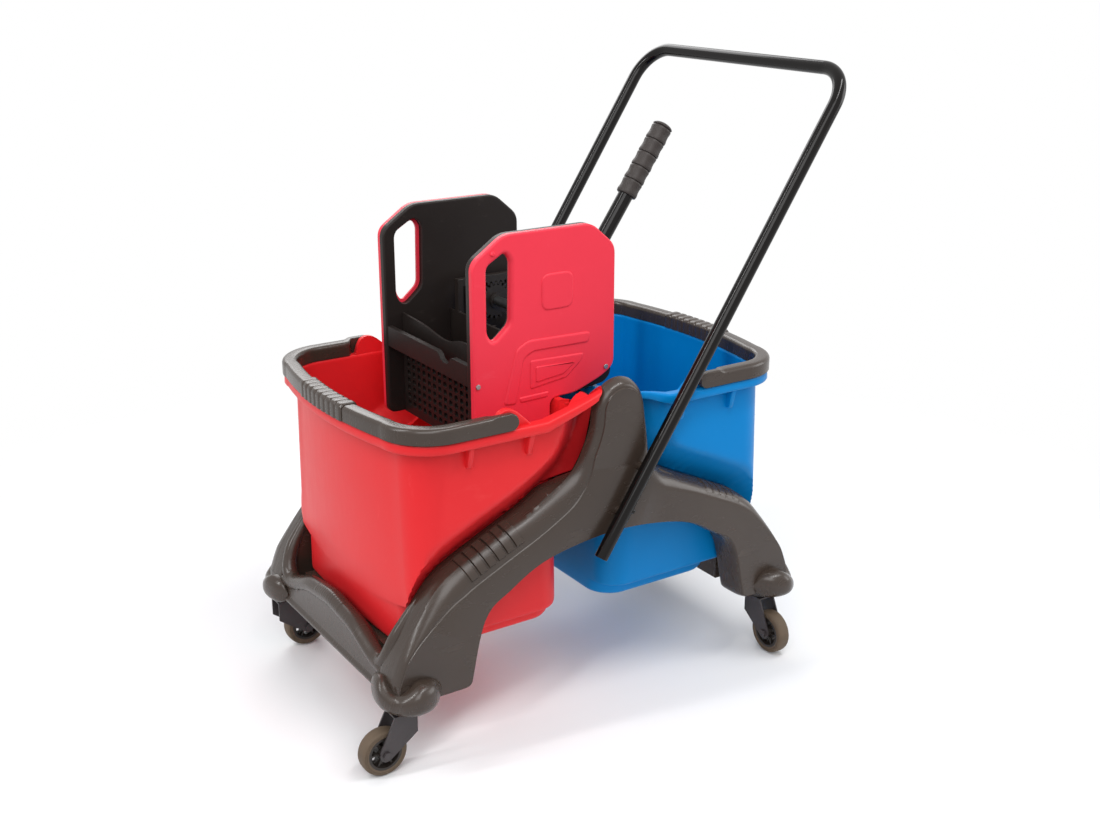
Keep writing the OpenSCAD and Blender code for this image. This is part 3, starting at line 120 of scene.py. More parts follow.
looks = {
    # structural polypropylene of the chassis: warm dark grey, satin, with a soft sheen on its rolled edges
    "chassisPolypropylene": {
        "colours": ("#352b25", "#40352d", "#64584d"), "wear": 0.25, "sizes": (140, 60, 1.6), "grain": 0.12,
        "rough": (0.21, 0.32), "ior": 1.49, "shine": 0.46},
    # bucket polypropylene: strong red, satin, faint flow marks
    "redPolypropylene": {
        "colours": ("#dc2227", "#e62b2f", "#ee5352"), "wear": 0.25, "sizes": (220, 90, 2.2), "grain": 0.12,
        "rough": (0.3, 0.44), "ior": 1.49, "shine": 0.25},
    # the same plastic in a deep blue, which keeps its colour where light grazes it
    "bluePolypropylene": {
        "colours": ("#0079bf", "#0085cb", "#2c98d2"), "wear": 0.2, "sizes": (220, 90, 2.2), "grain": 0.12,
        "rough": (0.3, 0.44), "ior": 1.49, "shine": 0.14},
    # wringer covers: the same plastic with a finer, more matt mould face
    "redCoverPolypropylene": {
        "colours": ("#e63144", "#ee384b", "#f45c69"), "wear": 0.25, "sizes": (180, 70, 1.4), "grain": 0.2,
        "rough": (0.36, 0.48), "ior": 1.49, "shine": 0.3},
    # inner wringer mouldings: nearly black, matt, a little paler where the mop rubs
    "wringerPolypropylene": {
        "colours": ("#1f1a18", "#282220", "#4a423d"), "wear": 0.3, "sizes": (120, 50, 1.4), "grain": 0.25,
        "rough": (0.34, 0.48), "ior": 1.49, "shine": 0.16},
    # powder coat on steel tube: near black, glossy, with a slight orange peel
    "blackPowderCoat": {
        "colours": ("#0a0706", "#0f0b0a", "#332c29"), "wear": 0.2, "sizes": (90, 35, 5.0), "grain": 0.01,
        "rough": (0.09, 0.15), "shine": 0.22},
    # lacquer on the castors' pressed steel: charcoal, satin, scratched at the edges
    "castorCoat": {
        "colours": ("#353031", "#413b3c", "#6a6261"), "wear": 0.5, "sizes": (40, 20, 1.2), "grain": 0.15,
        "rough": (0.28, 0.45), "shine": 0.4},
    # moulded nylon hubs: dark brown, with a dry sheen
    "hubNylon": {
        "colours": ("#241f1c", "#2e2824", "#544a43"), "wear": 0.4, "sizes": (30, 15, 1.0), "grain": 0.2,
        "rough": (0.35, 0.5), "ior": 1.52, "shine": 0.35},
    # grey-brown non-marking rubber, matt and a little dusty
    "tyreRubber": {
        "colours": ("#54473a", "#685847", "#7d6c58"), "wear": 0.6, "sizes": (18, 9, 0.9), "grain": 0.3,
        "rough": (0.55, 0.75), "shine": 0.3},
    # moulded grip rubber: dark and soft, with broad dull highlights
    "gripRubber": {
        "colours": ("#2a2422", "#332c29", "#4f4743"), "wear": 0.3, "sizes": (40, 18, 1.0), "grain": 0.3,
        "rough": (0.42, 0.6), "shine": 0.35},
    # moulded acetal of gears and bushes: black-brown and waxy
    "acetal": {
        "colours": ("#1f1a18", "#28221f", "#4a433e"), "wear": 0.3, "sizes": (40, 20, 1.2), "grain": 0.15,
        "rough": (0.3, 0.42), "ior": 1.48, "shine": 0.35},
    # bright zinc plate on screws and axles: cool grey metal with a blurred mirror, at the default IOR
    "zincPlate": {
        "colours": ("#8d8f90", "#a6a8a9", "#c4c6c7"), "wear": 0.5, "sizes": (12, 8, 0.8), "grain": 0.1,
        "rough": (0.22, 0.38), "shine": 0.5, "metal": 1.0}}
materials = {name: wornFinish(name, look) for name, look in looks.items()}

finishOf = {
    "chassis_plastic": "chassisPolypropylene", "bumper_plastic": "chassisPolypropylene",
    "black_tube": "blackPowderCoat", "black_steel": "castorCoat", "plated_steel": "zincPlate",
    "hub_plastic": "hubNylon", "tyre_rubber": "tyreRubber", "red_bucket_plastic": "redPolypropylene",
    "blue_bucket_plastic": "bluePolypropylene", "bail_plastic": "chassisPolypropylene",
    "red_cover_plastic": "redCoverPolypropylene", "wringer_plastic": "wringerPolypropylene",
    "gear_plastic": "acetal", "grip_rubber": "gripRubber"}
for node, slot in slotOf.items():
    mesh = nodes[node].data
    mesh.materials.clear()
    mesh.materials.append(materials[finishOf[slot]])
print("materials:", len(materials))


# every shape below is drawn in millimetres from the middle of the chassis


# curve through all the points, with even steps between each two
def smoothCurve(points, steps):
    line, last = [], len(points) - 1
    for i in range(last):
        a, b, c, d = points[max(i - 1, 0)], points[i], points[i + 1], points[min(i + 2, last)]
        for k in range(steps):
            t = k / steps
            line.append(tuple(0.5 * (2 * q + (r - p) * t + (2 * p - 5 * q + 4 * r - s) * t * t
                                     + (3 * q - p - 3 * r + s) * t ** 3) for p, q, r, s in zip(a, b, c, d)))
    return line + [tuple(points[last])]


def arcPoints(centre, radius, start, end, steps):
    turns = [radians(start + (end - start) * k / steps) for k in range(steps + 1)]
    return [(centre[0] + radius * cos(a), centre[1] + radius * sin(a)) for a in turns]


# the same line with points at equal distances
def evenly(points, count):
    far = [0.0]
    for p, q in zip(points, points[1:]):
        far.append(far[-1] + hypot(q[0] - p[0], q[1] - p[1]))
    line, i = [], 0
    for k in range(count):
        want = far[-1] * k / (count - 1)
        while i < len(points) - 2 and far[i + 1] < want:
            i += 1
        t = (want - far[i]) / (far[i + 1] - far[i])
        line.append(tuple(p + (q - p) * t for p, q in zip(points[i], points[i + 1])))
    return line


# closed outline with its corners rounded
def rounded(corners, radius, steps=6):
    line, count = [], len(corners)
    for i, p in enumerate(corners):
        p, a, b = Vector(p), Vector(corners[i - 1]), Vector(corners[(i + 1) % count])
        reach = min(radius, 0.48 * (a - p).length, 0.48 * (b - p).length)
        start, end = p + (a - p).normalized() * reach, p + (b - p).normalized() * reach
        for k in range(steps + 1):
            t = k / steps
            line.append(tuple(start * (1 - t) ** 2 + p * (2 * t * (1 - t)) + end * t * t))
    return line


def signedArea(ring):
    return sum(p[0] * q[1] - q[0] * p[1] for p, q in zip(ring, ring[1:] + ring[:1]))


def inwardAt(ring, i):
    a, b = ring[i - 1], ring[(i + 1) % len(ring)]
    along = Vector((b[0] - a[0], b[1] - a[1])).normalized()
    return Vector((-along.y, along.x))


def drawnIn(ring, depth):
    return [tuple(Vector(p) + inwardAt(ring, i) * depth) for i, p in enumerate(ring)]


def between(low, high, shares):
    return [[tuple(p + (q - p) * t for p, q in zip(a, b)) for a, b in zip(low, high)] for t in shares]


# value on a line of (place, value) points whose places fall
def readOff(line, at, beyond):
    for (x0, z0), (x1, z1) in zip(line, line[1:]):
        if x1 <= at <= x0:
            return z0 + (z1 - z0) * (at - x0) / (x1 - x0) if x1 != x0 else z0
    return beyond


def clamped(value):
    return min(1.0, max(0.0, value))


def smoothStep(value, low, high):
    t = clamped((value - low) / (high - low))
    return t * t * (3 - 2 * t)


# raised share of one rib in a row, 0 in the groove and 1 on the rib
def ribAt(value, start, pitch, count, soft, groove=0.06):
    t = (value - start) / pitch
    if t < 0 or t > count:
        return 0.0
    t -= int(t)
    return smoothStep(t, groove, groove + soft) * (1 - smoothStep(t, 1 - groove - soft, 1 - groove))


def mirrored(rings, sideX, sideY=1):
    return [[(sideX * x, sideY * y, z) for x, y, z in ring] for ring in rings]


# skin through a row of rings, closed at its ends
def loft(bm, rings, caps=(True, True)):
    count = len(rings[0])
    verts = [bm.verts.new(place(*p)) for p in rings[0]]
    edges = [bm.edges.new((verts[i], verts[(i + 1) % count])) for i in range(count)]
    if caps[0]:
        bmesh.ops.triangle_fill(bm, use_beauty=True, edges=edges)
    for ring in rings[1:]:
        grown = bmesh.ops.extrude_edge_only(bm, edges=edges)["geom"]
        fresh = {v for v in grown if isinstance(v, bmesh.types.BMVert)}
        verts = [next(e.other_vert(v) for e in v.link_edges if e.other_vert(v) in fresh) for v in verts]
        for v, p in zip(verts, ring):
            v.co = place(*p)
        edges = [bm.edges.get((verts[i], verts[(i + 1) % count])) for i in range(count)]
    if caps[1]:
        bmesh.ops.triangle_fill(bm, use_beauty=True, edges=edges)


# upright plate in the XZ plane between two values of y, with holes and bevelled edges on its far face
def plate(bm, outline, near, far, holes=(), edge=2.0, holeEdge=2.0):
    made, fromHole, loops = set(), set(), []
    for loop in [outline, *holes]:
        verts = [bm.verts.new(place(x, near, z)) for x, z in loop]
        loops += [bm.edges.new((verts[i - 1], verts[i])) for i in range(len(verts))]
        made.update(verts)
        if loop is not outline:
            fromHole.update(verts)
    faces = [g for g in bmesh.ops.triangle_fill(bm, use_beauty=True, edges=loops)["geom"]
             if isinstance(g, bmesh.types.BMFace)]
    grown = bmesh.ops.extrude_face_region(bm, geom=faces)["geom"]
    moved = [g for g in grown if isinstance(g, bmesh.types.BMVert)]
    bmesh.ops.translate(bm, verts=moved, vec=(0, (far - near) / 1000, 0))
    fresh = set(moved)
    made |= fresh
    bmesh.ops.recalc_face_normals(bm, faces=[f for f in bm.faces if f.verts[0] in made])
    if not edge and not holeEdge:
        return
    flat = [e for e in bm.edges if e.verts[0] in made and len(e.link_faces) == 2 and e.calc_face_angle() < 0.01]
    bmesh.ops.dissolve_edges(bm, edges=flat, use_verts=False)
    turned = [e for e in bm.edges if e.verts[0] in fresh and e.verts[1] in fresh
              and len(e.link_faces) == 2 and e.calc_face_angle() > 0.8]
    atHole = [e for e in turned if any(o.other_vert(v) in fromHole for v in e.verts for o in v.link_edges)]
    around = [e for e in turned if e not in set(atHole)]
    for width, segments, chosen in ((holeEdge, 4, atHole), (edge, 3, around)):
        chosen = [e for e in chosen if e.is_valid]
        if chosen and width:
            bmesh.ops.bevel(bm, geom=chosen, offset=width / 1000, offset_type="OFFSET", segments=segments,
                            profile=0.5, affect="EDGES", material=-1)


# low raised field on a face at y, with sloping sides; side is the way it rises
def raisedField(bm, y, side, corners, radius, rise, slope):
    ring = rounded(corners, radius)
    ring = ring if signedArea(ring) > 0 else ring[::-1]
    steps = [(0, -0.6), (0, 0), (0.12, 0.3), (0.5, 0.8), (0.8, 0.97), (1.1, 1.0)]  # share of the slope, of the rise
    loft(bm, [[(x, y + side * (rise * up if up > 0 else up), z) for x, z in drawnIn(ring, slope * share)]
              for share, up in steps], (False, True))


# ring of points turned about an axis; the profile is (radius, along)
def turnedShape(bm, profile, centre, axis, steps):
    axis = Vector(axis).normalized()
    side = axis.orthogonal().normalized()
    centre = place(*centre)
    verts = [bm.verts.new(centre + side * r / 1000 + axis * l / 1000) for r, l in profile]
    edges = [bm.edges.new((verts[i - 1], verts[i])) for i in range(len(verts))]
    bmesh.ops.spin(bm, geom=verts + edges, cent=centre, axis=axis, angle=2 * pi, steps=steps, use_merge=True)


def addObject(name, data):
    added = bpy.data.objects.new(name, data)
    bpy.context.scene.collection.objects.link(added)
    return added


# the finished piece hides the node that it stands for, rides on its body and takes the finish of its slot
def addPiece(name, bm, stands, sharpAngle=35, bevel=0, evened=False):
    bmesh.ops.remove_doubles(bm, verts=bm.verts, dist=1e-6)
    bmesh.ops.recalc_face_normals(bm, faces=bm.faces)
    mesh = bpy.data.meshes.new(name)
    bm.to_mesh(mesh)
    bm.free()
    mesh.shade_smooth()
    mesh.set_sharp_from_angle(angle=radians(sharpAngle))
    slot = slotOf[stands]
    mesh.materials.append(materials[finishOf[slot]])
    piece = addObject(name, mesh)
    if bevel:
        edge = piece.modifiers.new("edge", "BEVEL")
        edge.width, edge.segments = bevel / 1000, 2
        edge.limit_method, edge.angle_limit = "ANGLE", radians(sharpAngle)
        edge.harden_normals = True
    if evened:
        piece.modifiers.new("evened", "WEIGHTED_NORMAL").keep_sharp = True
    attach(piece, bodyOf[stands])
    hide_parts(stands)
    return piece


# the drawn form of a node, in place
def drawnForm(node):
    bm = bmesh.new()
    bm.from_mesh(nodes[node].data)
    bm.transform(nodes[node].matrix_world)
    return bm


# a plain piece keeps its drawn form and only gets its edges rounded
def softened(node, bevel, sharpAngle=30):
    bm = drawnForm(node)
    bmesh.ops.remove_doubles(bm, verts=bm.verts, dist=2e-6)
    bmesh.ops.dissolve_limit(bm, angle_limit=radians(0.6), verts=bm.verts, edges=bm.edges)
    return addPiece(node + "_soft", bm, node, sharpAngle, bevel)


# side frames: swept arms with a rolled outer edge, a tower and ribbed pads on the roll
# pads: start, pitch, count, height, and the turn of the roll where they end
arms = {
    "halfLength": 385, "halfWidth": 245, "footZ": 108, "rootX": 108, "rootZ": 391, "saddleRise": 14,
    "crownZ": 303, "archShift": 15, "rollRadius": 36, "towerShare": 0.4, "rearShare": 0.6, "underShare": 0.18,
    "footFade": (-18, 104), "rearFade": (60, 190), "towerFade": (395, 453), "padFade": (-14, 2),
    "sunkFade": (40, 90), "grooveSides": (-2.2, -1.0, 1.0, 2.2), "grooveSoft": 0.075,
    "frontPads": (-266, 16.0, 6, 3.4, 77), "rearPads": (200, 15.0, 5, 1.5, 62),
    "arm": [(385, 150), (366, 196.2), (328, 256), (288, 299), (216, 336), (143, 370), (108, 391)],
    "tower": [(83, 433), (75, 475), (66, 525), (48, 550), (20, 559), (-8, 550), (-26, 525), (-33, 480),
              (-56, 431), (-90, 401)],
    "arch": [(264, 123), (240, 217), (199, 251), (126, 287)],
    "heel": [(284, 108), (277, 109), (270.6, 112), (266.3, 116.6)],
    # depth from the outer face, share of the roll, turn
    "inside": [(55, 0.09, -30), (53.6, 0.03, -30), (50, 0, -30), (37, 0, -14), (36, 0, 2), (27, 0.04, 14),
               (19.2, 0.12, 26)],
    "rollTurns": (28.2, 36, 44, 52, 60, 68, 75, 78, 82, 90),
    # share of the roll, rise of the front part
    "outside": [(1.02, 0), (1.04, 0.5), (1.065, 1.8), (1.1, 2.2)]}
endX, footZ = arms["halfLength"], arms["footZ"]
frontArm = [(-x, z) for x, z in reversed(arms["arm"])]
saddle = [(arms["rootX"] * t, arms["rootZ"] + arms["saddleRise"] * (1 - t * t))
          for t in (0.8, 0.6, 0.4, 0.2, 0, -0.2, -0.4, -0.6, -0.8)]
outerTop = smoothCurve(arms["arm"] + arms["tower"] + frontArm[1:], 22)
saddleTop = smoothCurve(arms["arm"] + saddle + frontArm, 22)
pads = (arms["rearPads"], arms["frontPads"])
# more points where the grooves between the pads begin and end
for start, pitch, count, high, last in pads:
    for x in sorted((start + pitch * k + d for k in range(count + 1) for d in arms["grooveSides"]), reverse=True):
        i = next(i for i in range(1, len(outerTop)) if outerTop[i][0] <= x)
        (x0, z0), (x1, z1) = outerTop[i - 1], outerTop[i]
        t = (x - x0) / (x1 - x0)
        (u0, w0), (u1, w1) = saddleTop[i - 1], saddleTop[i]
        outerTop.insert(i, (x, z0 + (z1 - z0) * t))
        saddleTop.insert(i, (u0 + (u1 - u0) * t, w0 + (w1 - w0) * t))
frontArch = [(-x, z) for x, z in arms["arch"]]
arch = smoothCurve(frontArch + [(0, arms["crownZ"])] + arms["arch"][::-1], 8)
arch = [(-x, z) for x, z in arms["heel"]] + arch + arms["heel"][::-1]
underRing = [(-endX, footZ)] + [(x + arms["archShift"], z) for x, z in arch] + [(endX, footZ)]


def frameRing(top, depth, share, turn, sunk=0.0):
    ring = underRing + top
    line = []
    for i, (x, z) in enumerate(ring):
        reach, lift = arms["underShare"], 0.0
        if i >= len(underRing):
            foot = max(reach, smoothStep(endX - abs(x), *arms["footFade"]))
            foot *= 1 - (1 - arms["rearShare"]) * smoothStep(x, *arms["rearFade"])
            reach = foot * (1 - smoothStep(z, *arms["towerFade"]) * (1 - arms["towerShare"]))
            for start, pitch, count, high, last in pads:
                strength = smoothStep(turn, *arms["padFade"]) * (1 - smoothStep(turn, last - 3, last))
                lift += high * strength * ribAt(x, start, pitch, count, arms["grooveSoft"])
        inset = arms["rollRadius"] * share * reach - lift * cos(radians(turn))
        q = Vector((x, z)) + inwardAt(ring, i) * inset
        deep = depth + sunk * (1 - smoothStep(x, *arms["sunkFade"]))
        line.append((q.x, arms["halfWidth"] - deep + lift * sin(radians(turn)), q.y))
    return line


rings = [frameRing(saddleTop, *level) for level in arms["inside"]]
for turn in arms["rollTurns"]:
    a = radians(turn)
    rings.append(frameRing(outerTop, arms["rollRadius"] * (1 - sin(a)), 1 - cos(a), turn))
rings += [frameRing(outerTop, 0, share, 90, -up) for share, up in arms["outside"]]
for name, side in (("side_frame_right", -1), ("side_frame_left", 1)):
    shape = bmesh.new()
    loft(shape, mirrored(rings, 1, side))
    addPiece("moulded_" + name, shape, name, 32)

# crossbeams: rolled top edge, set-back face with a foot below, fine ribs on the hump, shelf for the bucket
# ribs: start, pitch, count, softness; shelf: length, half width, height
beam = {
    "low": 116, "depth": 36, "roll": 14, "wide": 15, "setBack": 5, "backDrop": 4, "faceDrop": 14, "faceLow": 12,
    "stations": 190, "rollSteps": 16, "rollSweep": 230, "ribs": (-44, 6.3, 14, 0.3), "ribRise": 0.7,
    "ribFrom": (-10, 30), "ribTo": (80, 120),
    "shelf": (58, 162, 165), "shelfBite": 1, "shelfRim": 4, "shelfHollow": 44,
    "foot": [(3.4, 9), (1.2, 7.4), (0, 5), (0, 2), (1.4, 0)],
    "top": [(0, 205), (40, 201), (87, 194), (125, 180), (152, 170), (168, 167), (180, 165), (191, 161),
            (203, 150)],
    "bead": [(370.5, 122, 166.5), (370.5, 139, 160), (370, 153, 155.5), (370, 165, 154.5), (369.5, 175, 158),
             (368.5, 183, 166.5), (366, 188.5, 179), (361.5, 192, 193), (354.5, 194.5, 207.5), (344, 196, 224),
             (328, 197, 246), (306, 198, 270), (284, 198, 284)],
    "beadR": 14, "beadSides": 18, "beadTilt": (1, 0, 0.3), "beadThins": ((0.18, 0.3, 0.6), (0.4, 0.6, 1.0))}
beamTop = [(-y, z) for y, z in reversed(beam["top"])] + beam["top"][1:]
beadLine = [Vector(p) for p in smoothCurve(beam["bead"], 10)]
beadRings, last = [], len(beadLine) - 1
beadTurns = [2 * pi * k / beam["beadSides"] for k in range(beam["beadSides"])]
for i, c in enumerate(beadLine):
    along = (beadLine[min(i + 1, last)] - beadLine[max(i - 1, 0)]).normalized()
    across = along.cross(Vector(beam["beadTilt"])).normalized()
    up = across.cross(along)
    r = beam["beadR"] * (1 - sum(cut * smoothStep(i / last, a, b) for cut, a, b in beam["beadThins"]))
    beadRings.append([c + across * r * cos(a) + up * r * sin(a) for a in beadTurns])
rings = []
low, r, wide, steps = beam["low"], beam["roll"], beam["wide"], beam["rollSteps"]
for y, top in evenly(smoothCurve(beamTop, 24), beam["stations"]):
    ring = [(beam["depth"], low), (beam["depth"], top - r - beam["backDrop"])]
    rib = beam["ribRise"] * ribAt(y, *beam["ribs"])
    for k in range(steps + 1):
        turn = 180 - beam["rollSweep"] * k / steps
        grow = rib * smoothStep(turn, *beam["ribFrom"]) * (1 - smoothStep(turn, *beam["ribTo"]))
        ring.append((wide - (wide + grow) * cos(radians(turn)), top - r + (r + grow) * sin(radians(turn))))
    ring += [(beam["setBack"], top - r - beam["faceDrop"]), (beam["setBack"], low + beam["faceLow"])]
    ring += [(d, low + up) for d, up in beam["foot"]]
    rings.append([(endX - d, y, z) for d, z in ring])
for name, side in (("rear_crossbeam", 1), ("front_crossbeam", -1)):
    shape = bmesh.new()
    loft(shape, mirrored(rings, side))
    long, half, high = beam["shelf"]
    bite = beam["shelfBite"]
    block = bmesh.ops.create_cube(shape, size=1.0)["verts"]
    bmesh.ops.scale(shape, verts=block, vec=((long + bite) / 1000, 2 * half / 1000, (high - low) / 1000))
    bmesh.ops.translate(shape, verts=block,
                        vec=place(side * (endX - beam["depth"] + bite / 2 - long / 2), 0, (high + low) / 2))
    under = min({f for v in block for f in v.link_faces}, key=lambda f: f.calc_center_median().z)
    bmesh.ops.inset_individual(shape, faces=[under], thickness=beam["shelfRim"] / 1000)
    bmesh.ops.translate(shape, verts=under.verts, vec=(0, 0, beam["shelfHollow"] / 1000))
    # the roll runs on as a bead over the inner edge of both arms
    for far in (-1, 1):
        loft(shape, mirrored(beadRings, side, far))
    addPiece("moulded_" + name, shape, name, 40)

# corner bumpers: two round lobes that meet in a dip on the corner
bumper = {
    "bottom": 104, "top": 152, "dip": 15, "corner": 0.47, "dipReach": 0.24, "pinch": 0.2, "skin": 1.5,
    "shoulder": 3, "shoulderFade": (0.1, 0.25), "endShare": 0.14, "fullness": 5, "backShare": 0.9,
    "upPower": 0.85, "outPower": 0.62, "stations": 48, "arcSteps": 16,
    "inner": [(379, -172), (379, -212), (372, -233), (350, -239), (313, -239)],
    "outer": [(381, -168), (391, -178), (399, -195), (403, -224), (399.5, -247), (391, -259), (383, -270),
              (360, -277.5), (332, -270), (308, -243)]}
stations, steps = bumper["stations"], bumper["arcSteps"]
innerLine, outerLine = (evenly(smoothCurve(bumper[line], 10), stations) for line in ("inner", "outer"))
rings = []
for k in range(stations):
    t = k / (stations - 1)
    b, o = Vector(innerLine[k]), Vector(outerLine[k])
    swell = max(bumper["endShare"], (1 - abs(2 * t - 1) ** bumper["fullness"]) ** 0.5)
    away = abs(t - bumper["corner"])
    near = 1 - smoothStep(away, 0.0, bumper["dipReach"])
    top = bumper["top"] - bumper["dip"] * near + bumper["shoulder"] * smoothStep(away, *bumper["shoulderFade"])
    middle = (top + bumper["bottom"]) / 2 - 1
    low, high = (middle - bumper["bottom"]) * swell, (top - middle) * swell
    ring = [(b, middle + high * bumper["backShare"]), (b, middle - low * bumper["backShare"])]
    for j in range(steps + 1):
        a = radians(-90 + 180 * j / steps)
        up = sin(a)
        z = middle + (high if up > 0 else low) * abs(up) ** bumper["upPower"] * (1 if up > 0 else -1)
        out = (1 - bumper["pinch"] * near) * max(0.0, cos(a)) ** bumper["outPower"]
        ring.append((b + (o - b) * out + (o - b).normalized() * bumper["skin"], z))
    rings.append([(p.x, p.y, z) for p, z in ring])
shape = bmesh.new()
for sideX in (-1, 1):
    for sideY in (-1, 1):
        loft(shape, mirrored(rings, sideX, -sideY))
addPiece("kidney_bumpers", shape, "corner_bumpers", 50)
print("chassis")

# buckets: stepped base, slanted band beside the frame, wide skirted rim that rises beside the tower, ears and gussets
# only the red one has the wing that runs on to the tower
buckets = {"blue_bucket": {"side": 1, "innerR": 90, "rise": 22, "wing": 0},
           "red_bucket": {"side": -1, "innerR": 28, "rise": 41, "wing": 52}}
# floorTurn: rise, inset; stepTurn: rise, outer x, half width, bow; gussetWide: offset, share of the depth
# wallGrow: height in which the inner end, the outer radius and the bow gain 1 mm
bucket = {
    "inner": 46, "outer": 336, "half": 228, "outerR": 60, "bow": 18, "wall": 3.5, "floorZ": 140, "rimZ": 515,
    "footIn": 44, "footOut": 282.6, "base": 160, "lowR": 45, "lowOutR": 24,
    "floorTurn": ((0, 9), (0.8, 5.6), (2.6, 2.7), (6, 0.8), (10, 0)),
    "stepOut": 284.6, "stepZ": 165.9, "stepHalf": 162,
    "stepTurn": ((0.2, 331, 178, 4), (1.2, 333.4, 179.6, 5), (4, 335, 181, 7), (9, 335.6, 182, 8)),
    "wallIn": 45, "rest": 2.2, "seat": 184, "seatR": (52, 32), "seatBow": 11,
    "seatShares": (0.25, 0.5, 0.75, 0.96, 1.0),
    "wallFoot": 202.5, "footLift": 0.4, "wallR": 28, "wallOutR": 36, "wallBow": 12, "wallGrow": (48, 4, 16),
    "wallUps": (1.4, 7, 13, 19, 25, 31, 37, 43, 49),
    "wallShares": (0.06, 0.12, 0.2, 0.3, 0.4, 0.5, 0.6, 0.7, 0.8, 0.9, 1.0), "topDrop": 8,
    "band": 46, "bandIn": 187, "bandFrom": 190,
    "rimIn": 11, "rimSide": 19, "rimOut": 20, "riseFrom": 116, "risePower": 1.1, "riseY": (198, 234), "riseThin": 0.5,
    "wingY": (165, 184), "wingFrom": 110, "wingRun": 70,
    "towerFront": [(559, -16), (550, 12), (525, 30), (480, 37), (431, 60)],
    "pivotX": 183, "pivotZ": 528.4, "earY": 226, "ear": 10, "gussets": (143, 246), "gussetH": 44,
    "gussetDrop": 4.6, "gussetWide": ((-4.4, 0.9), (-3.2, 1.0), (3.2, 1.0), (4.4, 0.9))}
frameEdge = outerTop[::5]
# rise above the rim, distance from the wall
rimProfile = [(-7.0, 0.4), (-5.4, 2.0), (-5.0, 14.2), (-6.2, 15.6), (-14.6, 16.0), (-15.8, 16.6), (-16.2, 17.4),
              (-15.8, 18.4), (-14.8, 19.0), (-5.0, 18.6), (-2.6, 18.0), (-1.0, 16.6), (-0.2, 14.6), (0, 12.0),
              (-0.1, 0.4), (-0.7, -1.6), (-2.0, -3.0), (-5, -3.5)]
earLine = smoothCurve([(-46, -3), (-41, 1), (-29, 13), (-14, 25.4), (0, 29.4), (11, 25.6), (18, 15), (22.5, 2),
                       (24, -3)], 6)


# half width of the wall, which draws in towards the edge of the side frame
def bandHalf(x, z):
    if z <= readOff(frameEdge, x, 0.0):
        return bucket["bandIn"]
    near = min(hypot(x - u, z - w) for u, w in frameEdge)
    return bucket["bandIn"] + (bucket["half"] - bucket["bandIn"]) * min(1.0, near / bucket["band"])


# outline from above: inner and outer x, half width, inner and outer corner radius, bow of the outer end
def bucketPlan(xi, xo, w, ri, ro, bow):
    run = [xi + ri + (xo - ro - xi - ri) * (k / 40) ** 1.15 for k in range(1, 40)]
    end = [-1 + 2 * k / 18 for k in range(1, 18)]
    back = [t / 10 for t in (9.7, 9.3, 9, 8.7, 8.4, 8.1, 7.9, 4, -4, -7.9, -8.1, -8.4, -8.7, -9, -9.3, -9.7)]
    return ([(x, -w) for x in run] + arcPoints((xo - ro, -w + ro), ro, -90, 0, 14)
            + [(xo + bow * (1 - t * t), (w - ro) * t) for t in end] + arcPoints((xo - ro, w - ro), ro, 0, 90, 14)
            + [(x, w) for x in reversed(run)] + arcPoints((xi + ri, w - ri), ri, 90, 180, 14)
            + [(xi, (w - ri) * t) for t in back] + arcPoints((xi + ri, -w + ri), ri, 180, 270, 14))


def bucketLevel(z, onRail, *plan):
    return [(x, y, z + readOff(saddleTop, x, saddleTop[0][1]) if onRail else z) for x, y in bucketPlan(*plan)]


# lift of the rim towards its inner corners, outside the place of the wringer
def rimRise(x, y):
    along = clamped((bucket["riseFrom"] - x) / (bucket["riseFrom"] - bucket["inner"] + bucket["rimIn"]))
    return along ** bucket["risePower"] * smoothStep(abs(y), *bucket["riseY"])


# the side wall runs on behind the tower, and the rim up to the tower's front edge
def drawnOut(ring, wing, rim=False):
    line, front = [], bucket["towerFront"]
    for x, y, z in ring:
        reach = wing * smoothStep(abs(y), *bucket["wingY"]) * clamped((bucket["wingFrom"] - x) / bucket["wingRun"])
        stop = min(x, max(x - reach, readOff(front, z, front[-1][1])))
        line.append((stop if rim and wing else x - reach, y, z))
    return line


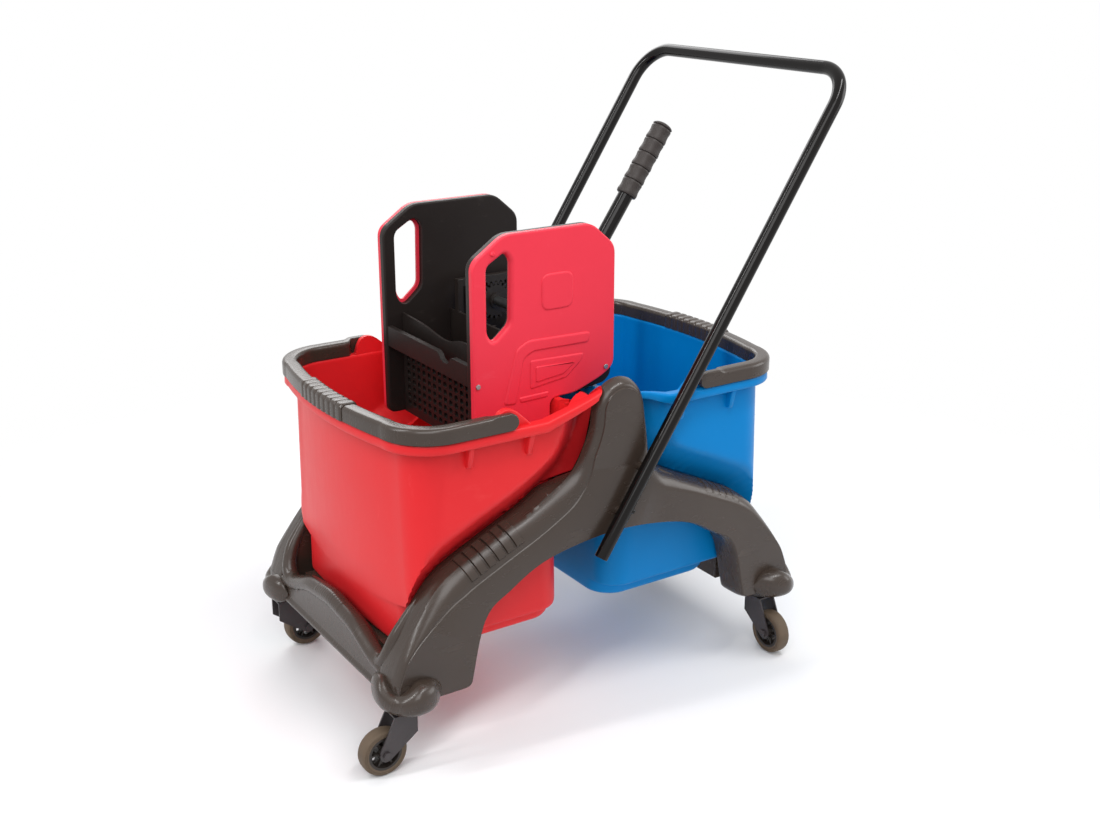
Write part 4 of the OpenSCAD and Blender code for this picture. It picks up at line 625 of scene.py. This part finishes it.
# rings of one face of the wall, from the floor to below the rim; t is the depth in the wall
def bucketSkin(t, kind):
    half, low, turn = bucket["half"] - t, bucket["lowR"] - t, bucket["lowOutR"] - t
    footIn, wallIn, outer = bucket["footIn"] + t, bucket["wallIn"] + t, bucket["outer"] - t
    rings = [bucketLevel(bucket["floorZ"] + t + up, False, footIn + inset, bucket["footOut"] - t - inset,
                         bucket["base"] - t - inset, low, low, 0) for up, inset in bucket["floorTurn"]]
    step = bucket["stepZ"] + t
    rings.append(bucketLevel(step, False, footIn, bucket["stepOut"] - t, bucket["stepHalf"] - t, low, low, 0))
    rings += [bucketLevel(step + up, False, footIn, out - t, wide - t, low, turn, bow)
              for up, out, wide, bow in bucket["stepTurn"]]
    rest, (seatIn, seatOut) = bucket["rest"] + t, bucket["seatR"]
    seat = bucketLevel(rest, True, wallIn, outer, bucket["seat"] - t, seatIn - t, seatOut - t, bucket["seatBow"])
    rings += between(rings[-1], seat, bucket["seatShares"])
    wallR = (bucket["wallR"] + kind["innerR"]) / 2 - t
    outR, bow = bucket["wallOutR"] - t, bucket["wallBow"]
    wall = [bucketLevel(rest + bucket["footLift"], True, wallIn, outer, bucket["wallFoot"] - t, wallR, outR, bow)]
    for up in bucket["wallUps"]:
        grownIn, grownR, grownBow = (up / high for high in bucket["wallGrow"])
        wall.append(bucketLevel(up + t, True, wallIn + grownIn, outer, half, wallR, outR + grownR, bow + grownBow))
    top = bucketLevel(bucket["rimZ"] - bucket["topDrop"], False, bucket["inner"] + t, outer, half,
                      kind["innerR"] - t, bucket["outerR"] - t, bucket["bow"])
    top = [(x, y, z + kind["rise"] * rimRise(x, y)) for x, y, z in top]
    wall += between(wall[-1], top, bucket["wallShares"])
    for ring in wall:
        line = []
        for x, y, z in drawnOut(ring, kind["wing"]):
            if abs(y) > bucket["bandFrom"]:
                y = max(-1, min(1, y)) * min(abs(y), bandHalf(kind["side"] * x, z - t) - t)
            line.append((x, y, z))
        rings.append(line)
    return rings


def rimLevel(z, out, kind):
    share = out / bucket["rimSide"]
    rimIn, rimOut = bucket["rimIn"] * share, bucket["rimOut"] * share
    plan = bucketPlan(bucket["inner"] - rimIn, bucket["outer"] + rimOut, bucket["half"] + out,
                      kind["innerR"] + rimIn, bucket["outerR"] + rimOut, bucket["bow"])
    line = []
    for x, y in plan:
        lift = rimRise(x, y)
        line.append((x, y, bucket["rimZ"] + z * (1 - bucket["riseThin"] * lift) + kind["rise"] * lift))
    return drawnOut(line, kind["wing"], True)


under, deep = bucket["rimZ"] - bucket["gussetDrop"], bucket["gussetH"]
gusset = [(0, under - deep), (0, under), (18, under), (17.6, under - 9), (9.4, under - deep + 2), (8, under - deep)]
for name, kind in buckets.items():
    shape, side = bmesh.new(), kind["side"]
    rings = bucketSkin(0, kind) + [rimLevel(z, out, kind) for z, out in rimProfile]
    rings += bucketSkin(bucket["wall"], kind)[::-1]
    loft(shape, mirrored(rings, side))
    for far in (-1, 1):
        ear = [(side * (bucket["pivotX"] + x), bucket["rimZ"] + z) for x, z in earLine]
        plate(shape, ear, far * bucket["earY"], far * (bucket["earY"] + bucket["ear"]), edge=2.5)
        for x in bucket["gussets"]:
            loft(shape, [[(side * (x + w), far * (bucket["half"] - 1.5 + out * grow), z) for out, z in gusset]
                         for w, grow in bucket["gussetWide"]])
    addPiece("moulded_" + name, shape, name, 42)
print("buckets")

# bails: gutter section folded down on the rim, with rounded tabs at the pivots
bail = {
    "width": 25, "height": 24, "wall": 2.6, "gutter": 13, "gutterFade": (207, 219), "restZ": 515.4, "midY": 237,
    "tabX": 170.4, "tabR": 12.9, "tabZ": 13.0, "tabTop": 25.8, "eyeIn": 236.4, "endX": 345.5, "turnR": 70, "bow": 18,
    "sideSteps": (0, 0.5, 1.8, 4, 7, 11, 16, 22, 29, 36, 39, 42, 45, 48, 53, 62, 75, 90, 105),
    "gripL": 150, "gripRibs": 9, "ribSteps": 12, "gripGap": 0.4, "gripEnd": 0.5, "ribLow": 0.9, "ribRise": 1.1,
    "ribFrom": (0.02, 0.3), "ribTo": (0.7, 0.98), "tabCorner": 2.5, "gutterCorner": 7, "shoulder": 0.35, "roof": 0.4}
turnX, reachY = bail["endX"] - bail["turnR"], bail["midY"] - bail["turnR"]
bailHalf = [(bail["tabX"] + d, -bail["midY"]) for d in bail["sideSteps"]]
bailHalf += arcPoints((turnX, -reachY), bail["turnR"], -90, 0, 18)
bailHalf += [(bail["endX"] + bail["bow"] * (1 - t * t), reachY * t) for t in [-1 + k / 30 for k in range(1, 31)]]
bailPath = bailHalf + [(x, -y) for x, y in reversed(bailHalf[:-1])]


# section at one place of the path: a round tab about the pivot that grows into the open gutter
def bailRing(i, grow=0.0, hollow=True):
    x, y = bailPath[i]
    full = 1.0 if abs(y) < bail["midY"] - 1e-6 else smoothStep(x, *bail["gutterFade"])
    half = bail["width"] / 2
    a, b = half + grow, (bail["midY"] - bail["eyeIn"]) * (1 - full) - half * full - grow
    low, high = 0.0, bail["height"] + grow
    if x < bucket["pivotX"]:
        tab = sqrt(max(1.0, bail["tabR"] ** 2 - (bucket["pivotX"] - x) ** 2))
        low, high = bail["tabZ"] - tab, bail["tabZ"] + tab
    elif full < 1:
        high = max(high, bail["tabTop"] * (1 - full) + high * full)
    r = bail["tabCorner"] + (bail["gutterCorner"] - bail["tabCorner"]) * full
    r = min(r, (a - b) * 0.42, (high - low) * 0.45)
    shoulder = low + (high - low) * bail["shoulder"]
    line = [(a, low), (a, shoulder)] + arcPoints((a - r, high - r), r, 0, 90, 6)
    line += arcPoints((b + r, high - r), r, 90, 180, 6) + [(b, shoulder), (b, low)]
    if hollow:
        t, up = bail["wall"], low + bail["gutter"] * full + bail["roof"]
        line += [(b + t, low), (b + t, up), (a - t, up), (a - t, low)]
    return line


def alongBail(i, section):
    (x, y), last = bailPath[i], len(bailPath) - 1
    p, q = bailPath[max(i - 1, 0)], bailPath[min(i + 1, last)]
    along = Vector((q[0] - p[0], q[1] - p[1])).normalized()
    return [(x + along.y * out, y - along.x * out, bail["restZ"] + up) for out, up in section]


rings = [alongBail(i, bailRing(i)) for i in range(len(bailPath))]
# ribbed sleeve over the middle of the bail
middle, steps, gripRings = len(bailHalf) - 1, bail["gripRibs"] * bail["ribSteps"], []
inside = bailRing(middle, bail["gripGap"], False)[::-1]
for k in range(steps + 1):
    y = -bail["gripL"] / 2 + bail["gripL"] * k / steps
    x = bail["endX"] + bail["bow"] * (1 - (y / reachY) ** 2)
    u = k / bail["ribSteps"] % 1.0
    rise = bail["ribLow"] + bail["ribRise"] * smoothStep(u, *bail["ribFrom"]) * (1 - smoothStep(u, *bail["ribTo"]))
    if k in (0, steps):
        rise = bail["gripEnd"]
    ring = bailRing(middle, bail["gripGap"] + rise, False) + inside
    gripRings.append([(x + out, y, bail["restZ"] + max(0.0, up)) for out, up in ring])
for name, side in (("blue_bail", 1), ("red_bail", -1)):
    shape, sleeve = bmesh.new(), bmesh.new()
    loft(shape, mirrored(rings, side))
    addPiece("moulded_" + name, shape, name, 38)
    loft(sleeve, mirrored(gripRings, side))
    addPiece("ribbed_" + name + "_grip", sleeve, name + "_grip", 50)

# pivot pins, closed in between ear and tab
pin = {"fromY": 229, "profile": [(0.01, 0), (3.6, 0), (4.2, 0.6), (4.2, 16.4), (3.6, 17), (0.01, 17)]}
for name, side in (("blue_bail_pins", 1), ("red_bail_pins", -1)):
    shape = bmesh.new()
    for far in (-1, 1):
        spot = (side * bucket["pivotX"], far * pin["fromY"], bucket["pivotZ"])
        turnedShape(shape, pin["profile"], spot, (0, far, 0), 20)
    addPiece("turned_" + name, shape, name, 40)
print("bails")

# wringer sides: dark inner panel, red outer cover with raised fields and a dished hand hole
wringer = {
    "foot": [(-191, 432), (-54.3, 432), (-54.3, 515.4)],
    "panelRear": [(10, 515.8), (54, 521), (66.5, 533)], "coverRear": [(-8, 516), (44, 535), (66.5, 550)],
    "head": [(66, 745), (22, 783), (-136, 783), (-191, 745)], "corner": 14,
    "hole": [(-165, 634), (-155, 621), (-126, 646), (-124, 744), (-133, 756), (-165, 737)],
    "holeR": 9, "holeWider": 5.5, "panelIn": 133, "panelOut": 145, "coverOut": 155,
    "panelEdges": (3.5, 1.5), "coverEdges": (3.0, 7.5)}
# corners, corner radius, rise, width of the slope
fields = {
    "square": ([(-71, 715), (-13, 715), (-13, 658), (-71, 658)], 15, 1.8, 3),
    "band": ([(20, 613), (-95, 616), (-116, 605), (-140, 519), (-117, 517), (-103, 588), (-87, 597),
             (17.4, 595.6)], 7, 1.9, 3.2),
    "window": ([(-92, 583), (7, 580), (5, 570), (-25, 545), (-92, 536.6)], 5, 1.5, 2.4),
    "pane": ([(-83, 573), (-8, 569), (-30, 552), (-83, 546)], 4, 3.0, 2.2),
    "foot": ([(-112, 527), (-57, 528), (-60, 519), (-110, 518)], 4, 1.4, 2.4),
    "boss": ([(-161.5, 757), (-156, 762.5), (-150.5, 757), (-156, 751.5)], 5, 3.0, 2.0)}
panelLine, coverLine = (rounded(wringer["foot"] + wringer[rear] + wringer["head"], wringer["corner"])
                        for rear in ("panelRear", "coverRear"))
holeLine = rounded(wringer["hole"], wringer["holeR"])
wideHole = drawnIn(holeLine, -wringer["holeWider"] if signedArea(holeLine) > 0 else wringer["holeWider"])
panelIn, panelOut, coverOut = wringer["panelIn"], wringer["panelOut"], wringer["coverOut"]
for name, side in (("right", -1), ("left", 1)):
    shape = bmesh.new()
    plate(shape, panelLine, side * panelOut, side * panelIn, [wideHole], *wringer["panelEdges"])
    addPiece("moulded_wringer_panel_" + name, shape, "wringer_panel_" + name, 35, evened=True)
    shape = bmesh.new()
    plate(shape, coverLine, side * panelOut, side * coverOut, [holeLine], *wringer["coverEdges"])
    for field in fields.values():
        raisedField(shape, side * coverOut, side, *field)
    addPiece("moulded_wringer_cover_" + name, shape, "wringer_cover_" + name, 35, evened=True)

# strainer: thin plate across the basket, full of small square holes
strainer = {"x": -161, "thick": 4, "low": 432, "half": 133, "columns": 14, "rows": 9, "acrossPitch": 17.8,
            "downPitch": 13.1, "first": 556, "wide": 10.6, "high": 8.8, "holeR": 3,
            "top": [(133, 604), (60, 600), (12, 593), (-22, 592), (-62, 601), (-133, 603)]}
shape = bmesh.new()
holes = []
a, b = strainer["wide"] / 2, strainer["high"] / 2
for c in range(strainer["columns"]):
    u = (c - (strainer["columns"] - 1) / 2) * strainer["acrossPitch"]
    for r in range(strainer["rows"]):
        w = strainer["first"] - r * strainer["downPitch"]
        holes.append(rounded([(u - a, w - b), (u + a, w - b), (u + a, w + b), (u - a, w + b)], strainer["holeR"], 2))
outline = [(-strainer["half"], strainer["low"]), (strainer["half"], strainer["low"])]
plate(shape, outline + smoothCurve(strainer["top"], 6), 0, strainer["thick"], holes, 0, 0)
# drawn along x like the other plates, then turned to stand across the basket
shape.transform(Matrix(((0, 1, 0, strainer["x"] / 1000 + originX), (1, 0, 0, -originX), (0, 0, 1, 0), (0, 0, 0, 1))))
addPiece("pierced_strainer_plate", shape, "strainer_plate", 30)
print("wringer")

# push handle: one bent tube, open at its ends
handle = {
    "x": -31, "z": 278, "lean": 33.2, "long": 859, "bend": 62, "tube": 22, "wall": 2, "y": 263, "sides": 36,
    "stops": (0, 40, 120, 200, 320, 440, 560, 680), "spacers": (78, 156), "spacerY": 243.5,
    "spacer": [(3.4, 0), (7.4, 0), (7.4, 10.6), (3.4, 10.6)], "nutAt": 88, "nutOut": 9,
    "nut": [(0.01, 0), (4.6, 0), (4.6, 6.4), (3.8, 7.4), (0.01, 7.8)]}
lean = Matrix.Rotation(radians(handle["lean"]), 3, "Y")
straight, across = handle["long"] - handle["bend"], handle["y"] - handle["bend"]
# each step is a place and a heading in the plane of the handle
leg = [((-handle["y"], z), (0.0, 1.0)) for z in (*handle["stops"], straight)]
for a in map(radians, range(5, 90, 5)):
    leg.append(((-across - handle["bend"] * cos(a), straight + handle["bend"] * sin(a)), (sin(a), cos(a))))
path = leg + [((-across + 2 * across * k / 8, handle["long"]), (1.0, 0.0)) for k in range(9)]
path += [((-y, z), (a, -b)) for (y, z), (a, b) in reversed(leg)]


# point in the leaning frame of the handle
def onHandle(out, y, along):
    return Vector((handle["x"], 0, handle["z"])) + lean @ Vector((out, y, along))


def tubeRing(step, radius, back=0.0):
    (y, z), (dy, dz) = step
    y, z = y + dy * back, z + dz * back
    turns = [2 * pi * k / handle["sides"] for k in range(handle["sides"])]
    return [onHandle(radius * cos(a), y + dz * radius * sin(a), z - dy * radius * sin(a)) for a in turns]


bore, skinR = handle["tube"] / 2 - handle["wall"], handle["tube"] / 2
openEnd = [(bore, 60), (bore, 1), (bore + 0.4, 0), (skinR - 0.6, 0), (skinR, 0.6)]
shape = bmesh.new()
rings = [tubeRing(path[0], r, back) for r, back in openEnd]
rings += [tubeRing(step, skinR) for step in path[1:-1]]
rings += [tubeRing(path[-1], r, -back) for r, back in reversed(openEnd)]
loft(shape, rings)
addPiece("bent_push_handle", shape, "push_handle", 40)

# spacers behind the tube, and its bolts with a nut on the rear side
shape, bolts = bmesh.new(), drawnForm("handle_bolts")
for far in (-1, 1):
    for along in handle["spacers"]:
        turnedShape(shape, handle["spacer"], onHandle(0, far * handle["spacerY"], along), (0, far, 0), 28)
    spot = onHandle(handle["nutOut"], far * handle["y"], handle["nutAt"])
    turnedShape(bolts, handle["nut"], spot, lean @ Vector((1, 0, 0)), 20)
addPiece("tube_handle_spacers", shape, "handle_spacers", 40)
addPiece("headed_handle_bolts", bolts, "handle_bolts", 30).data.materials[0] = materials["blackPowderCoat"]

# lever grip: five finger segments, a collar and a domed end
# finger: share of the segment, rise above the radius
lever = {
    "axle": (4, 608), "y": -80, "lean": 34.6, "long": 368, "grip": 131, "radius": 17, "segments": 5,
    "bore": 12.53, "collar": 1.2, "dome": 7, "domeTurns": (8, 24, 40, 56, 70),
    "finger": [(0.02, -0.3), (0.1, 0.2), (0.2, 0.0), (0.42, -0.9), (0.62, -1.0), (0.82, -0.3), (0.9, -0.2),
               (0.955, -0.9), (0.97, -2.4), (0.99, -2.4)]}
leverWay = (sin(radians(lever["lean"])), 0, cos(radians(lever["lean"])))
radius, end = lever["radius"], lever["long"]
start, domeFrom = end - lever["grip"], end - lever["dome"]
step = (lever["grip"] - lever["dome"] - 2) / lever["segments"]
profile = [(lever["bore"], start), (radius - 2.2, start), (radius - 0.8, start + 0.6)]
for k in range(lever["segments"]):
    profile += [(radius + drop, start + lever["collar"] + (k + t) * step) for t, drop in lever["finger"]]
profile += [(radius * cos(a), domeFrom + lever["dome"] * sin(a)) for a in map(radians, lever["domeTurns"])]
profile += [(5.0, end), (0.01, end), (0.01, domeFrom), (lever["bore"], domeFrom)]
shape = bmesh.new()
turnedShape(shape, profile, (lever["axle"][0], lever["y"], lever["axle"][1]), leverWay, 48)
addPiece("finger_grip", shape, "lever_grip", 40)
print("handle and lever")

# tyres: crowned tread and two grooves on each side
# place of each swivel and the way its castor trails
castors = {"front_right": (-366, -221, 180), "front_left": (-366, 221, 0), "rear_right": (344, -221, -90),
           "rear_left": (344, 221, 90)}
tyre = {
    "radius": 37.5, "trail": 34,
    "flank": [(27.5, -11), (29.2, -11.7), (30.2, -11.9), (30.6, -11.3), (31.2, -11.3), (31.6, -11.9), (33.0, -11.8),
              (33.4, -11.2), (34.0, -11.2), (34.4, -11.6), (35.6, -10.6), (36.6, -9.0), (37.2, -6.6),
              (37.45, -3.4), (37.5, 0)]}
profile = tyre["flank"] + [(r, -w) for r, w in reversed(tyre["flank"][:-1])]
for name, (x, y, heading) in castors.items():
    a = radians(heading)
    shape = bmesh.new()
    spot = (x + tyre["trail"] * cos(a), y + tyre["trail"] * sin(a), tyre["radius"])
    turnedShape(shape, profile, spot, (-sin(a), cos(a), 0), 72)
    addPiece("grooved_tyre_" + name, shape, "tyre_" + name, 50)

# the plainer pieces, by the width of their rounded edges
edges = {
    0.9: ["castor_sockets"] + ["castor_fork_" + name for name in castors],
    0.5: ["wheel_axle_" + name for name in castors] + ["wheel_hub_" + name for name in castors]
    + ["wringer_screws", "axle_bushes", "drive_axle"],
    0.3: ["pinion_right", "pinion_left", "lever_tube", "frame_bolts"],
    0.8: ["drain_floor", "press_plate", "rear_tie_bar"],
    1.4: ["front_band", "rim_hook", "lever_socket"],
    2.0: ["centre_bridge"]}
for width, names in edges.items():
    for name in names:
        piece = softened(name, width)
        if "wheel_axle" in name:
            piece.data.materials[0] = materials["castorCoat"]
print("plain pieces")


# set a camera or lamp on its spot, with its back turned the given way
def aim(added, spot, back):
    added.location = spot
    added.rotation_mode = "QUATERNION"
    added.rotation_quaternion = back.to_track_quat("Z", "Y")


# camera at the photograph's place
scene = bpy.context.scene
view = {"azimuth": -33.1, "elevation": 19.3, "distance": 2.3594, "targetX": 45.7, "targetZ": 427.35, "lens": 45.25,
        "sensor": 36.0}
azimuth, elevation = radians(view["azimuth"]), radians(view["elevation"])
back = Vector((sin(azimuth) * cos(elevation), -cos(azimuth) * cos(elevation), sin(elevation)))
camera = addObject("camera", bpy.data.cameras.new("camera"))
camera.data.lens = view["lens"]
camera.data.sensor_width = view["sensor"]
aim(camera, place(view["targetX"], 0, view["targetZ"]) + back * view["distance"], back)
scene.camera = camera

# soft boxes: a key in front, a fill on the right, one behind, and two strips for crisp lines on tube and rolls
# place, width, height, power
lamps = {
    "key": ((-1.6, -2.2, 2.6), 2.0, 2.0, 46),
    "fill": ((2.6, -1.4, 1.3), 1.6, 1.6, 24),
    "rim": ((0.6, 2.4, 2.2), 2.0, 1.6, 36),
    "stripLeft": ((-2.4, 0.2, 2.3), 0.2, 2.2, 34),
    "stripTop": ((0.5, -1.2, 3.0), 2.4, 0.25, 40)}
lampTarget = Vector((0, 0, 0.4))
for name, (spot, wide, high, power) in lamps.items():
    light = bpy.data.lights.new(name, "AREA")
    light.shape, light.energy = "RECTANGLE", power
    light.size, light.size_y = wide, high
    aim(addObject(name, light), Vector(spot), Vector(spot) - lampTarget)

# the room is white to the eye and in reflections, and a dimmer cool white where it lights the trolley
scene.world = bpy.data.worlds.new("studio")
scene.world.use_nodes = True
tree = scene.world.node_tree
room = tree.nodes["Background"]
room.inputs["Color"].default_value = (0.9, 0.93, 1.0, 1.0)
room.inputs["Strength"].default_value = 0.42
white = addNode(tree, "ShaderNodeBackground", {"Color": (1.0, 1.0, 1.0, 1.0), "Strength": 1.0})
ray = addNode(tree, "ShaderNodeLightPath")
seen = ray.outputs["Is Camera Ray"]
for kind in ("Is Glossy Ray", "Is Transmission Ray"):
    either = addNode(tree, "ShaderNodeMath", {"operation": "MAXIMUM"}, {0: seen, 1: ray.outputs[kind]})
    seen = either.outputs["Value"]
mixed = addNode(tree, "ShaderNodeMixShader", {},
                {0: seen, 1: room.outputs["Background"], 2: white.outputs["Background"]})
tree.links.new(mixed.outputs["Shader"], tree.nodes["World Output"].inputs["Surface"])

# pale matt floor that keeps the shadow and fades into the white backdrop
ground = {"radius": 3.0, "grey": 0.88, "rough": 0.7, "fadeFrom": 0.7, "fadeTo": 1.7}
floorMesh = bmesh.new()
bmesh.ops.create_circle(floorMesh, cap_ends=True, segments=96, radius=ground["radius"])
floorData = bpy.data.meshes.new("floor")
floorMesh.to_mesh(floorData)
floorMesh.free()
floor = addObject("floor", floorData)
floorPaint = bpy.data.materials.new("floorPaint")
floorPaint.use_nodes = True
tree = floorPaint.node_tree
paint = tree.nodes["Principled BSDF"]
paint.inputs["Base Color"].default_value = [ground["grey"]] * 3 + [1.0]
paint.inputs["Roughness"].default_value = ground["rough"]
where = addNode(tree, "ShaderNodeTexCoord").outputs["Object"]
away = addNode(tree, "ShaderNodeVectorMath", {"operation": "LENGTH"}, {0: where})
fade = addNode(tree, "ShaderNodeMapRange", {"interpolation_type": "SMOOTHSTEP", "From Min": ground["fadeFrom"],
                                            "From Max": ground["fadeTo"]}, {"Value": away.outputs["Value"]})
clear = addNode(tree, "ShaderNodeBsdfTransparent")
blended = addNode(tree, "ShaderNodeMixShader", {},
                  {0: fade.outputs["Result"], 1: paint.outputs["BSDF"], 2: clear.outputs["BSDF"]})
tree.links.new(blended.outputs["Shader"], tree.nodes["Material Output"].inputs["Surface"])
floorData.materials.append(floorPaint)
scene.view_settings.view_transform = "Standard"
print("stage ready")
